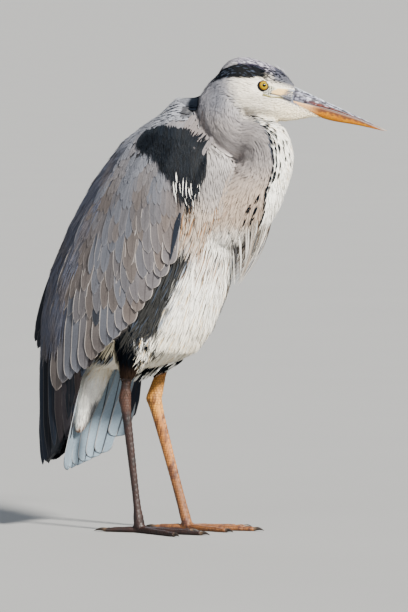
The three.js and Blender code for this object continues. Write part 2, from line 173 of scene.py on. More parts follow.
def turned(vectors, angle, middle_x=0.0):
    """Vectors turned about the upright, or points about the upright through middle_x."""
    c, s = np.cos(angle), np.sin(angle)
    x, y, z = vectors[..., 0] - middle_x, vectors[..., 1], vectors[..., 2]
    return stack(middle_x + x * c - y * s, x * s + y * c, z)


def neck_turn(z):
    """How far the neck is turned at a height."""
    return HEAD_YAW * np.interp(z, [350, 390, 444, 500, 540], [0.0, 0.2, 0.45, 0.75, 1.0])


def in_neck(points):
    """Points with the neck's turn undone, so that its middle plane is y = 0."""
    return turned(points, -neck_turn(points[:, 2]), NECK_AXIS_X)


def head_axes():
    """Forward, left and up of the head as columns."""
    cy, sy = math.cos(HEAD_YAW), math.sin(HEAD_YAW)
    cp, sp = math.cos(HEAD_PITCH), math.sin(HEAD_PITCH)
    return np.array([[cy * cp, sy * cp, -sp], [-sy, cy, 0.0], [cy * sp, sy * sp, cp]]).T


HEAD_AXES = head_axes()


def from_head(points):
    return np.asarray(points, float) @ HEAD_AXES.T + HEAD_ORIGIN


def in_head(points):
    return (points - HEAD_ORIGIN) @ HEAD_AXES


def line_distance(a, b, nodes):
    """Distance of each point (a, b) from the line through the nodes."""
    nodes = np.array(nodes, float)
    points = stack(a, b)[..., None, :]
    step = nodes[1:] - nodes[:-1]
    share = np.clip(np.sum((points - nodes[:-1]) * step, axis=-1) / np.sum(step * step, axis=-1), 0, 1)
    return np.linalg.norm(points - nodes[:-1] - share[..., None] * step, axis=-1).min(axis=-1)


# ---------------------------------------------------------------- meshes from arrays

SLEEVE = 0.94  # share of the OFBake map that goes once round the body


def placed(name, data):
    made = bpy.data.objects.new(name, data)
    bpy.context.scene.collection.objects.link(made)
    return made


def read_array(items, key, width, kind=float):
    """One property of all items as rows of an array."""
    values = np.zeros(len(items) * width, kind)
    items.foreach_get(key, values)
    return values.reshape(-1, width)


def piece(name, points, faces, finish, tones, numbers, patch, replaces=()):
    """A smooth mesh from millimetre points and equal-sided faces, riding on the bird.
    numbers are named values at each point, and patch is each point's place in the OFBake map."""
    mesh = bpy.data.meshes.new(name)
    mesh.vertices.add(len(points))
    mesh.vertices.foreach_set("co", (points * MM + SHIFT).ravel())
    mesh.loops.add(faces.size)
    mesh.loops.foreach_set("vertex_index", faces.ravel().astype(np.int32))
    mesh.polygons.add(len(faces))
    mesh.polygons.foreach_set("loop_start", np.arange(0, faces.size, faces.shape[1], dtype=np.int32))
    mesh.update(calc_edges=True)
    if tones is not None:
        layer = mesh.attributes.new("tone", "FLOAT_COLOR", "POINT")
        layer.data.foreach_set("color", np.c_[tones, np.ones(len(tones))].astype(np.float32).ravel())
    for key, values in numbers.items():
        layer = mesh.attributes.new(key, "FLOAT", "POINT")
        layer.data.foreach_set("value", values.astype(np.float32).ravel())
    layer = mesh.uv_layers.new(name="OFBake")
    layer.uv.foreach_set("vector", across_seam(patch[faces]).astype(np.float32).ravel())
    mesh.shade_smooth()
    mesh.materials.append(finish)
    made = placed(name, mesh)
    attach(made, "root")
    if replaces:
        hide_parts(*replaces)
    return made


def across_seam(corners):
    """Faces that cross the seam of a sleeve-like map run on past its right edge."""
    crossing = np.ptp(corners[..., 0], axis=1) > 0.5
    shifted = corners[..., 0] + np.where(corners[..., 0] < 0.5, SLEEVE, 0.0)
    return stack(np.where(crossing[:, None], shifted, corners[..., 0]), corners[..., 1])


def grid_faces(rows, columns, count=1, closed=False):
    """Quads of count grids of points. Closed grids join their last column to the first."""
    k = np.arange(columns if closed else columns - 1)
    row = np.arange(rows - 1)[:, None] * columns
    a, b = row + k, row + (k + 1) % columns
    quads = stack(a, b, b + columns, a + columns).reshape(-1, 4)
    return (np.arange(count)[:, None, None] * rows * columns + quads).reshape(-1, 4)


def summed_at(corners, values, count):
    """Sums rows of values at the points that corners name."""
    return np.stack([np.bincount(corners, column, count) for column in values.T], axis=-1)


def corner_normals(points, quads):
    """The normal at each point, from the faces round it."""
    p = points[quads]
    normals = np.cross(p[:, 2] - p[:, 0], p[:, 3] - p[:, 1])
    return unit(summed_at(quads.ravel(), np.repeat(normals, 4, axis=0), len(points)))


def smoothed(values, edges, rounds, share):
    """Values at the points, each moved a share of the way to its neighbours' mean, rounds times."""
    count = np.maximum(np.bincount(edges.ravel(), minlength=len(values)), 1)[:, None]
    start, end = edges.T
    for _ in range(rounds):
        total = summed_at(start, values[end], len(values)) + summed_at(end, values[start], len(values))
        values = values + share * (total / count - values)
    return values


# ---------------------------------------------------------------- the form of the whole plumage

FORM_VOXEL = 1.9
OVERLAP = 0.45  # more than half the gap between neighbouring nodes
SOCKET_GAP = 0.9  # between an eye and the plug in its socket


def node_triangles(name):
    mesh = frame["nodes"][name].data
    mesh.calc_loop_triangles()
    points = (read_array(mesh.vertices, "co", 3) - SHIFT) / MM
    return points, read_array(mesh.loop_triangles, "vertices", 3, np.int32)


def grown(points, triangles, amount):
    """The triangles moved out, each point by the mean of its faces' normals. Doubled points move alike."""
    keys, same = np.unique(np.round(points, 3), axis=0, return_inverse=True)
    corners = same.reshape(-1)[triangles]
    p = points[triangles]
    normals = np.cross(p[:, 1] - p[:, 0], p[:, 2] - p[:, 0])
    total = summed_at(corners.ravel(), np.repeat(normals, 3, axis=0), len(keys))
    return keys + unit(total) * amount, corners


def socket_plug(side, rings=16):
    """A ball of triangles a little smaller than the eye."""
    ring = 2 * rings
    tilt = (math.pi * np.arange(1, rings) / rings)[:, None]
    turn = math.pi * np.arange(ring) / rings
    shell = stack(np.sin(tilt) * np.cos(turn), np.sin(tilt) * np.sin(turn), np.cos(tilt)).reshape(-1, 3)
    ball = np.concatenate([[[0.0, 0.0, 1.0]], shell, [[0.0, 0.0, -1.0]]])
    k, last = np.arange(ring), len(ball) - 1
    after = (k + 1) % ring
    row = 1 + ring * np.arange(rings - 2)[:, None]
    faces = np.concatenate([part.reshape(-1, 3) for part in (
        stack(0, 1 + k, 1 + after),
        stack(last, last - ring + after, last - ring + k),
        stack(row + k, row + k + ring, row + after + ring),
        stack(row + k, row + after + ring, row + after),
    )])
    return from_head(ball * (EYE_RADIUS - SOCKET_GAP) + [0.0, side * EYE_SIDE, 0.0]), faces


def gathered(shapes):
    """Many shapes' points and faces as one."""
    starts = np.cumsum([0] + [len(points) for points, _ in shapes])
    faces = [faces + start for (_, faces), start in zip(shapes, starts)]
    return np.concatenate([points for points, _ in shapes]).tolist(), np.concatenate(faces).tolist()


def flesh_shape():
    """Points, quads, edges and node of the one surface round all nodes of flesh."""
    shapes = [grown(*node_triangles(name), OVERLAP) for name in FLESH_NODES]
    owners = np.repeat(FLESH_NODES, [len(faces) for _, faces in shapes])
    tree = BVHTree.FromPolygons(*gathered(shapes))
    points, faces = gathered(shapes + [socket_plug(side) for side in SIDES.values()])
    mesh = bpy.data.meshes.new("flesh")
    mesh.from_pydata(points, [], faces)
    lump = placed("flesh", mesh)
    remesh = lump.modifiers.new("remesh", "REMESH")
    remesh.mode = "VOXEL"
    remesh.voxel_size = FORM_VOXEL
    whole = bpy.data.meshes.new_from_object(lump.evaluated_get(bpy.context.evaluated_depsgraph_get()))
    shape = read_array(whole.vertices, "co", 3)
    quads = read_array(whole.polygons, "vertices", 4, np.int32)
    edges = read_array(whole.edges, "vertices", 2, np.int32)
    for data, holder in ((lump, bpy.data.objects), (mesh, bpy.data.meshes), (whole, bpy.data.meshes)):
        holder.remove(data)
    for _ in range(8):  # smooths without shrinking
        shape = smoothed(shape, edges, 1, 0.6)
        shape = smoothed(shape, edges, 1, -0.62)
    found = [tree.find_nearest(p)[2] for p in shape.tolist()]
    return shape, quads, edges, owners[found]


class Guide:
    """The form's surface, for laying feathers and scales on it."""

    def __init__(self, points, quads):
        self.tree = BVHTree.FromPolygons(points.tolist(), quads.tolist())
        self.normals = unit(corner_normals(points, quads)[quads].mean(axis=1))

    def answer(self, found, shape):
        places, faces = zip(*found)
        return np.array(places).reshape(shape), self.normals[np.array(faces)].reshape(shape)

    def nearest(self, points):
        found = [self.tree.find_nearest(p) for p in points.reshape(-1, 3).tolist()]
        return self.answer([(hit, face) for hit, _, face, _ in found], points.shape)

    def along_rays(self, origins, rays):
        """Where rays first meet the surface, and the normals there; a ray that misses takes the place
        nearest to a point well along it."""
        found = []
        for start, ray in zip(origins.tolist(), np.broadcast_to(rays, origins.shape).tolist()):
            hit, _, face, _ = self.tree.ray_cast(Vector(start), Vector(ray))
            if hit is None:
                hit, _, face, _ = self.tree.find_nearest(Vector(start) + Vector(ray) * 50.0)
            found.append((hit, face))
        return self.answer(found, origins.shape)

    def from_side(self, side, x, z):
        """The outermost points of one side, seen from that side, and their normals. Past the outline
        the nearest point of the surface stands in, kept at the x and z asked for."""
        found = []
        for a, b in zip(x.ravel().tolist(), z.ravel().tolist()):
            hit, _, face, _ = self.tree.ray_cast(Vector((a, side * 200.0, b)), Vector((0.0, -side, 0.0)))
            if hit is None or hit.y * side < 0:
                hit, _, face, _ = self.tree.find_nearest(Vector((a, side * 12.0, b)))
                hit = Vector((a, hit.y if hit.y * side > 0 else 0.0, b))
            found.append((hit, face))
        return self.answer(found, x.shape + (3,))


FORM, QUADS, EDGES, OWNER = flesh_shape()
NORMALS = corner_normals(FORM, QUADS)
GUIDE = Guide(FORM, QUADS)


def coat_depths():
    depth = np.array([COAT_DEPTH.get(name, LEG_DEPTH) for name in OWNER])
    facing_in = np.where(FORM[:, 1] > 0, -NORMALS[:, 1], NORMALS[:, 1]) > 0.2
    in_wing = np.char.startswith(OWNER.astype(str), "wing")
    depth[facing_in & in_wing] = WING_UNDERSIDE_DEPTH
    return smoothed(depth[:, None], EDGES, 4, 0.7)[:, 0]


# ---------------------------------------------------------------- markings and painted shade, the same on skin and feathers

WHITE = paint(250, 247, 238)
CREAM = paint(243, 230, 198)
BUFF = paint(134, 92, 46)
BLACK = paint(4, 8, 14)
SLATE = paint(26, 33, 44)
FACE = paint(238, 229, 212)
CROWN_LILAC = paint(178, 174, 186)
CROWN_STREAK = paint(52, 50, 66)
CROWN_DASH = paint(58, 54, 72)
CREST_PALE = paint(176, 174, 184)
FOREHEAD_GREY = paint(70, 74, 88)
STRIPE_BLUE = paint(70, 78, 94)
BILL_BASE_GREY = paint(116, 120, 132)
NECK_GREY = paint(137, 131, 129)
NECK_PALE = paint(140, 138, 142)
NAPE_GREY_AND_SHADE = paint(82, 84, 92)
NECK_WARM = paint(164, 146, 129)
NECK_HAIR = paint(110, 76, 48)
FORENECK_OCHRE = paint(236, 200, 140)
BLUE_SLATE = paint(46, 55, 68)
BREAST_GREY = paint(135, 131, 129)
BELLY_OCHRE = paint(226, 190, 128)
FLANK_PALE = paint(140, 150, 164)
FLANK_SHEEN = paint(62, 72, 88)
PLUME_BROWN = paint(108, 84, 62)
THIGH_BROWN = paint(50, 37, 29)
BACK_GREY = paint(74, 77, 90)
BACK_SHADE_BLUE = paint(22, 28, 48)
WING_GREY = paint(86, 88, 95)
WING_BROWN = paint(88, 80, 75)
WING_WARM = paint(108, 98, 93)
SHOULDER_GREY = paint(122, 124, 131)
COVERT_SLATE = paint(46, 49, 56)
QUILL_BROWN = paint(46, 36, 32)
TAIL_GREY = paint(130, 147, 160)
UNDERTAIL_TAN = paint(150, 112, 84)
UNDERTAIL_SHADE = paint(70, 76, 88)
TAN_LEG = paint(168, 108, 50)
TAN_LEG_LIGHT = paint(198, 136, 58)
TAN_LEG_MOTTLE = paint(84, 46, 30)
TAN_FOOT = paint(70, 42, 34)
# the right leg's dark browns are partly painted shade over the legs' own colour
DARK_LEG = paint(38, 20, 15)
DARK_LEG_MOTTLE = paint(22, 14, 14)
DARK_ANKLE = paint(78, 50, 36)

# the lower and upper edge of the black stripe over the eye, along the head
crown_low = along_line([
    (-60, -14), (-56, -11), (-49, -5.4), (-38, -1.5), (-28.6, 1.1), (-17, 4.7), (-8, 8.9), (6, 12.5),
])
crown_high = along_line([(-60, -8), (-52, 5), (-38, 15.7), (-27, 20.4), (-12, 22.6), (5, 17.5)])
# places by height: the hind edge of the white foreneck and the wing's front edge
foreneck_line = along_line([
    (368, 146), (390, 153), (411, 156), (428, 160), (448, 161.5), (472, 156), (488, 148), (502, 127),
])
WING_EDGE = [(172, -92), (198, -64), (252, 0), (326, 53), (384, 69), (428, 82), (466, 92), (490, 80)]
wing_edge_x = along_line(WING_EDGE)
NECK_FOLD = [
    (54, 522), (61, 512), (65, 500), (70, 487), (79, 470), (89, 459), (96, 452), (103, 449), (112, 448),
]
FOLD_END = (104, 454)  # where the fold between upper and lower neck runs out, in the neck's middle plane
UPRIGHT = (1, 1, 0.3)  # a ripple's stretch that draws it out down the bird


def crease_shade(points):
    """Painted shade in the neck's fold and in the dip behind the nape, and painted light in the fold's
    hollow.
    """
    x, _, z = in_neck(points).T
    # nape: painted shadow in the dip between neck and mantle; deep: painted light that lifts the fold's
    # hollow
    nape = band(x, 45, 60, 1.5) * band(z, 500, 524, 2.5)
    deep = bell(x - FOLD_END[0], 13) * bell(z - FOLD_END[1], 13)
    shade = (1 - 0.7 * bell(line_distance(x, z, NECK_FOLD), 0.9)) * (1 - 0.8 * nape) * (1 + 1.3 * deep)
    return shade[:, None]


def behind_cheek(along, up):
    return -along - np.interp(-up, [4.5, 33], [34, 22])


def nape_share(points):
    """0 on the white cheek and throat, 1 on the grey nape and neck behind and below them."""
    along, _, up = in_head(points).T
    below = -up - np.interp(along, [-23, -7, 20], [33, 38, 42])
    uneven = 2.5 * ripple(points, 7, 15)
    return 1 - fall(behind_cheek(along, up) + uneven, -12, 13) * fall(below + uneven, -9, 10)


def nape_tone(points):
    """Grey of the upper neck, darkest along the hind outline of head and neck, partly with painted shade."""
    along, _, up = in_head(points).T
    return painted(
        NECK_PALE,
        (NECK_GREY, ramp(-up, 26, 60)),
        # the nape's own grey, deepened by painted shade along the hind outline
        (NAPE_GREY_AND_SHADE, 0.85 * ramp(behind_cheek(along, up), 2, 24) * fall(-up, 36, 66)),
    )


def stripe_share(along, up, wobble=0.0):
    """1 inside the black stripe over the eye, with a speckled front end."""
    low, high = crown_low(along) + wobble, crown_high(along) + wobble
    return ramp(up, low - 1.2, low + 1.4) * fall(up, high - 1, high + 1.2) * fall(along, -4, 9)


def head_tone(points):
    """Cream face, pale crown with dark streaks, black stripe over the eye, greyer forehead and nape."""
    along, side, up = in_head(points).T
    streaks = ripple(stack(along, side, up), 2.6, 12, (0.16, 1, 1))
    return painted(
        FACE,
        (CROWN_LILAC, ramp(up, 13, 20) * fall(along, 8, 24)),
        (FOREHEAD_GREY, 0.95 * ramp(along, 0, 12) * ramp(up, 6, 13)),
        (CREAM, 0.8 * ramp(along, 0, 40) * ramp(-up, 6, 18)),
        (nape_tone(points), nape_share(points)),
        (CROWN_STREAK, 0.75 * ramp(streaks, 0.15, 0.6) * ramp(up, 15, 20)),
        (BILL_BASE_GREY, ramp(along, 32.5, 35) * band(up, -9.5, 9.5, 1.0)),
        (BLACK, 0.99 * stripe_share(along, up, 0.7 * ripple(points, 5, 11))),
    )


def neck_tone(points):
    """Taupe sides, white front, and between them a slate line with black dashes before it."""
    x, _, z = in_neck(points).T
    hairs = ripple(points, 3.2, 24, UPRIGHT)
    before = x - foreneck_line(z) + 0.8 * ripple(points, 16, 21)
    line = fall(z, 498, 504) * ramp(z, 440, 462) * band(before, -3.0, -0.4, 0.8)
    return crease_shade(points) * painted(
        nape_tone(points),
        (NECK_PALE, 0.75 * fall(x, 62, 88) * ramp(z, 440, 470)),
        (FACE, (1 - nape_share(points)) * ramp(z, 484, 500)),
        (NECK_WARM, 0.85 * fall(z, 396, 456)),
        (NECK_HAIR, 0.3 * ramp(hairs, 0.3, 0.8) * fall(z, 385, 420)),
        (WHITE, ramp(before, -1, 1.6) * fall(z, 500, 508)),
        (BLUE_SLATE, 0.9 * line),
        (WHITE, 0.85 * fall(z - 3 * hairs, 346, 378)),
    )


def flank_share(points):
    """1 on the black flank below the wing, with a hairy front edge."""
    x, y, z = points.T
    past_wing = x - wing_edge_x(z)
    wobble = 4.5 * ripple(points, 9, 32, (1, 1, 0.35)) + 2.5 * ripple(points, 3, 33, UPRIGHT)
    wide = np.interp(z, [190, 215, 250, 290, 325, 345, 356], [47, 45, 37, 28, 19, 10, 2])
    share = ramp(past_wing, -60, -50) * ramp(np.abs(y), 26, 36)
    share = share * fall(past_wing + wobble, wide - 5, wide + 4)
    start = np.interp(z, [196, 215, 240, 290, 320, 335], [0, 4, 7, 7, -5, -9])
    left = band(y - start + 0.5 * wobble, 0, 17, 2) * band(z, 196, 332, 6) * ramp(x, -14, 6)
    return np.maximum(share * fall(z, 346, 358), left)


def body_tone(points):
    """Grey shoulder side, buff-streaked breast, white belly, black flank along the wing."""
    x, y, z = points.T
    past_wing = x - wing_edge_x(z)
    streaks = ripple(points, 4.0, 31, (1, 1, 0.1))
    cream = band(x + 0.35 * (z - 220), -40, -15, 2.5) * band(z, 192, 250, 4) * ramp(np.abs(y), 24, 32)
    return crease_shade(points) * painted(
        WHITE,
        (NECK_WARM, 0.9 * ramp(z, 304, 360) * ramp(past_wing + 0.6 * (z - 330), 4, 22)),
        (BREAST_GREY, ramp(z, 376, 420)),
        (NECK_GREY, 0.45 * ramp(z, 384, 400) * fall(z, 424, 446) * ramp(x, 70, 100)),
        (BUFF, 0.4 * ramp(streaks, 0.4, 0.8) * ramp(z, 290, 340) * fall(z, 376, 400)),
        (CREAM, 0.45 * fall(z, 215, 290)),
        (BLACK, 0.97 * flank_share(points)),
        (CREAM, 0.95 * cream),
        (WHITE, fall(x, -70, -58) * fall(z, 220, 240)),
    )


def thigh_tone(points):
    """Black down the outside and front, cream behind, streaked white in front."""
    x, y, z = points.T
    off = x - np.where(y < 0, -15.0, 5.0) + 2.5 * ripple(points, 9, 41)
    return painted(
        BLACK,
        (THIGH_BROWN, 0.9 * fall(z, 196, 207) * (y < 0)),
        (CREAM, 0.92 * ramp(-off, 9, 14) * ramp(z, 194, 204)),
        (WHITE, ramp(off, 16, 24) * ramp(ripple(points, 7, 42, UPRIGHT), -0.5, 0.1)),
    )


def wing_tone(points):
    """Grey with brownish middles, paler towards the wing's bend and front, slate where only quills lie."""
    x, _, z = points.T
    before = x - wing_edge_x(np.maximum(z, 172))
    return painted(
        WING_GREY,
        (WING_BROWN, 0.85 * ramp(ripple(points, 26, 51), -0.35, 0.5)),
        (SHOULDER_GREY, 0.45 * ramp(z, 390, 450)),
        (WING_WARM, 0.6 * ramp(before, -44, -12) * ramp(z, 250, 300)),
        (SLATE * 0.55, fall(z, 190, 214)),
    )


def mantle_tone(points):
    """Pale shoulders and grey back, with painted shade darkening the middle of the back."""
    side, z = np.abs(points[:, 1]), points[:, 2]
    brown = ramp(ripple(points, 16, 62, UPRIGHT), -0.1, 0.6)
    tone = painted(
        BACK_GREY,
        (SHOULDER_GREY, ramp(z, 440, 490)),
        # painted shade along the back's ridge
        (BACK_SHADE_BLUE, 0.92 * fall(side, 9, 33) * fall(z, 470, 512)),
        (WING_BROWN, 0.5 * brown * fall(z, 430, 480)),
    )
    tone = tone * (1 + 0.12 * ripple(points, 12, 61, (1, 1, 0.2)))[:, None]
    return np.clip(tone, 0, 1) * crease_shade(points)


def leg_tone(points):
    """Dark brown on the right leg, partly painted shade; orange-tan with brown mottling on the left."""
    mottle = ramp(ripple(points, 5, 71, (1, 1, 0.4)) + 0.6 * ripple(points, 13, 72), 0.0, 1.0)
    z = points[:, 2]
    tan = painted(
        TAN_LEG,
        (TAN_LEG_LIGHT, band(z, 138, 184, 8)),
        (TAN_LEG_MOTTLE, 0.8 * mottle * fall(z, 150, 186)),
        (TAN_FOOT, 0.8 * fall(z, 46, 100) * (0.7 + 0.3 * mottle)),
    )
    dark = painted(DARK_LEG, (DARK_LEG_MOTTLE, mottle), (DARK_ANKLE, 0.6 * band(z, 146, 172, 5)))
    return np.where(points[:, 1:2] < 0, dark, tan)


def undertail_tone(points):
    """A white lobe with a tan tip and, in front of it, grey down darkened further by painted shadow."""
    x, _, z = points.T
    edge = np.interp(z, [120, 132, 156, 175, 196], [-93, -83, -72, -55, -47])
    front = ramp(x - edge + 1.5 * ripple(points, 9, 73), -2, 4)
    return painted(WHITE, (UNDERTAIL_SHADE, 0.85 * front), (UNDERTAIL_TAN, fall(z, 124, 134)))


TONES = {
    "head": head_tone, "neck_upper": neck_tone, "neck_mid": neck_tone, "neck_lower": neck_tone,
    "trunk": body_tone, "mantle": mantle_tone, "wing_r": wing_tone, "wing_l": wing_tone,
    "undertail": undertail_tone, "thigh_r": thigh_tone, "thigh_l": thigh_tone,
}


def tones_at(points, owners):
    tones = np.zeros(points.shape)
    for owner in np.unique(owners):
        here = owners == owner
        tones[here] = TONES.get(owner, leg_tone)(points[here])
    return tones


# ---------------------------------------------------------------- materials

VANE_RIM = paint(178, 170, 164)
VANE_SHAFT = paint(40, 36, 38)
SCALE_EDGE = paint(44, 28, 22)
IRIS = (0.27, 0.18, 0.0)
IRIS_RIM = (0.22, 0.1, 0.0)
PUPIL = paint(8, 7, 6)
EYE_RING = paint(14, 12, 10)


def linear(colour):
    return (*colour, 1.0)


class Finish:
    """A Principled material and short ways to add nodes to it."""

    def __init__(self, name, roughness, specular, coat=0.0):
        self.material = bpy.data.materials.new(name)
        self.material.use_nodes = True
        self.tree = self.material.node_tree
        self.shader = self.tree.nodes["Principled BSDF"]
        settings = {
            "Roughness": roughness,
            "Specular IOR Level": specular,
            "Coat Weight": coat,
            "Coat Roughness": 0.08,
        }
        for key, value in settings.items():
            self.shader.inputs[key].default_value = value

    def put(self, socket, value):
        if isinstance(value, bpy.types.NodeSocket):
            self.tree.links.new(value, socket)
        else:
            socket.default_value = value

    def node(self, kind, inputs=(), **settings):
        made = self.tree.nodes.new(kind)
        for key, value in settings.items():
            setattr(made, key, value)
        for key, value in dict(inputs).items():
            self.put(made.inputs[key], value)
        return made

    def read(self, name, output="Fac"):
        return self.node("ShaderNodeAttribute", attribute_name=name).outputs[output]

    def math(self, operation, a, b=0.0):
        return self.node("ShaderNodeMath", {0: a, 1: b}, operation=operation).outputs[0]

    def times(self, a, b):
        return self.math("MULTIPLY", a, b)

    def step(self, value, low, high, bottom=0.0, top=1.0):
        inputs = {"Value": value, "From Min": low, "From Max": high, "To Min": bottom, "To Max": top}
        return self.node("ShaderNodeMapRange", inputs, interpolation_type="SMOOTHSTEP").outputs["Result"]

    def blend(self, a, b, share, kind="MIX"):
        inputs = {0: share, 6: a, 7: b}
        return self.node("ShaderNodeMix", inputs, data_type="RGBA", blend_type=kind).outputs[2]

    def shaded(self, tone, value, low, high, bottom, top):
        """The tone made darker or lighter by a value's smooth step."""
        return self.blend(tone, self.step(value, low, high, bottom, top), 1.0, "MULTIPLY")

    def noise(self, scale, detail, place=None):
        place = place or self.node("ShaderNodeTexCoord").outputs["Object"]
        inputs = {"Vector": place, "Scale": scale, "Detail": detail}
        return self.node("ShaderNodeTexNoise", inputs).outputs["Fac"]

    def ends(self, colour, height=None, strength=0.3, distance=0.0003):
        """The finished material, with its colour and bump."""
        self.put(self.shader.inputs["Base Color"], colour)
        if height is not None:
            inputs = {"Height": height, "Strength": strength, "Distance": distance}
            self.put(self.shader.inputs["Normal"], self.node("ShaderNodeBump", inputs).outputs[0])
        return self.material


def feather_finish(name, roughness, barbs, specular):
    """A vane with shaft line, darker middle, pale rim and slanting barbs, by its across and reach values."""
    finish = Finish(name, roughness, specular)
    out = finish.math("ABSOLUTE", finish.read("across"))
    slant = finish.math("SUBTRACT", finish.times(finish.read("reach"), barbs), finish.times(out, 5.0))
    barb = finish.math("SINE", finish.times(slant, 6.283))
    split = finish.noise(420.0, 2.0)
    rim = finish.times(finish.step(out, 0.84, 0.96), finish.read("rim"))
    tone = finish.shaded(finish.read("tone", "Color"), out, 0.0, 0.9, 0.93, 1.05)
    tone = finish.blend(tone, linear(VANE_RIM), rim)
    shaft = finish.times(finish.step(out, 0.12, 0.03), finish.read("shaft"))
    tone = finish.blend(tone, linear(VANE_SHAFT), shaft)
    tone = finish.shaded(tone, finish.math("ADD", finish.times(barb, 0.12), split), 0.2, 0.9, 0.86, 1.06)
    return finish.ends(tone, finish.math("ADD", finish.times(barb, 0.35), split), distance=0.0006)


def skin_finish():
    finish = Finish("skin", 0.62, 0.35)
    pores = finish.noise(900.0, 2.0)
    tone = finish.shaded(finish.read("tone", "Color"), pores, 0.2, 0.8, 0.85, 1.05)
    return finish.ends(tone, pores, distance=0.0004)


def scale_finish():
    """Leg scales: glossy middles, darker edges."""
    finish = Finish("leg_scales", 0.48, 0.4)
    grain = finish.noise(700.0, 3.0)
    tone = finish.shaded(finish.read("tone", "Color"), grain, 0.25, 0.75, 0.72, 1.12)
    tone = finish.blend(tone, linear(SCALE_EDGE), finish.step(finish.read("across"), 0.7, 1.0, 0.0, 0.55))
    finish.put(finish.shader.inputs["Roughness"], finish.step(grain, 0.2, 0.8, 0.42, 0.64))
    return finish.ends(tone, grain)


def horn_finish(name, roughness, scratch):
    """Bill and claws: fine streaks along the horn and small pits."""
    finish = Finish(name, roughness, 0.22)
    lines = {0: finish.times(finish.read("reach"), 9.0), 1: finish.times(finish.read("across"), scratch)}
    streak = finish.noise(1.0, 4.0, finish.node("ShaderNodeCombineXYZ", lines).outputs[0])
    both = finish.math("ADD", finish.times(streak, 0.7), finish.times(finish.noise(650.0, 3.0), 0.3))
    tone = finish.shaded(finish.read("tone", "Color"), both, 0.3, 0.7, 0.72, 1.16)
    rough = finish.step(both, 0.3, 0.7, roughness - 0.08, roughness + 0.14)
    finish.put(finish.shader.inputs["Roughness"], rough)
    return finish.ends(tone, both, 0.35)


def eye_finish():
    """Yellow iris with an orange rim and fine mottling round a small black pupil. out is 0 at the pupil's
    middle and 1 at IRIS_TILT from it."""
    finish = Finish("eye", 0.07, 0.12, coat=0.28)
    out = finish.read("out")
    iris = finish.blend(linear(IRIS), linear(IRIS_RIM), finish.step(out, 0.44, 0.62))
    iris = finish.shaded(iris, finish.noise(1500.0, 2.0), 0.25, 0.75, 0.75, 1.1)
    iris = finish.blend(linear(PUPIL), iris, finish.step(out, 0.23, 0.27))
    return finish.ends(finish.blend(iris, linear(EYE_RING), finish.step(out, 0.63, 0.68)))


VANE_SOFT = feather_finish("soft_feather", 0.88, 14.0, 0.05)
VANE_FIRM = feather_finish("firm_feather", 0.68, 40.0, 0.14)
VANE_GLOSSY = feather_finish("glossy_feather", 0.58, 30.0, 0.16)
SCALES = scale_finish()
BARE_SKIN = skin_finish()
EYE = eye_finish()


# ---------------------------------------------------------------- vanes

PATCH = 0.003  # a feather's patch in the OFBake map


def sleeve(y, x, height):
    """A sleeve-like map: the angle of (y, x) in u, a height from 0 to 1 in v."""
    u = np.arctan2(y, x) / (2 * math.pi) + 0.5
    return stack(u * SLEEVE, np.clip(height, 0.0, 1.0) * 0.98) + 0.01


def unwrap(points):
    """The bird opened out like a sleeve: round its upright axis in u, up its height in v."""
    x, y, z = points.T
    axis_x = np.interp(z, [70, 200, 300, 400, 470, 560], [-110, -60, -10, 40, 80, 100])
    return sleeve(y, x - axis_x, (z - 60.0) / 520.0)


def head_unwrap(points):
    """The head opened out round its long axis."""
    along, side, up = in_head(points).T
    return sleeve(side, up + 6.0, (along + 66.0) / 160.0)


def tip_round(s, start):
    """1 up to start and from there round down to 0 at 1."""
    return np.clip(1.0 - np.clip((s - start) / (1.0 - start), 0, 1) ** 2, 0, 1)


# half width along a vane, from its root to its tip
VANE_SHAPES = {
    "lance": lambda s: np.minimum(1.0, 3.2 * s + 0.25) * np.clip(1.0 - s, 0, 1) ** 0.55 * 1.08,
    "leaf": lambda s: np.minimum(1.0, 2.2 * s + 0.35) * tip_round(s, 0.66) ** 0.62,
    "quill": lambda s: np.minimum(1.0, 4.0 * s + 0.4) * np.sqrt(tip_round(s, 0.86)),
    "primary": lambda s: np.minimum(1.0, 4.0 * s + 0.4) * np.clip((1.0 - s) / 0.3, 0, 1) ** 0.5,
    "tail": lambda s: (0.35 + 0.65 * np.minimum(1.0, 1.6 * s)) * np.sqrt(tip_round(s, 0.9)),
}


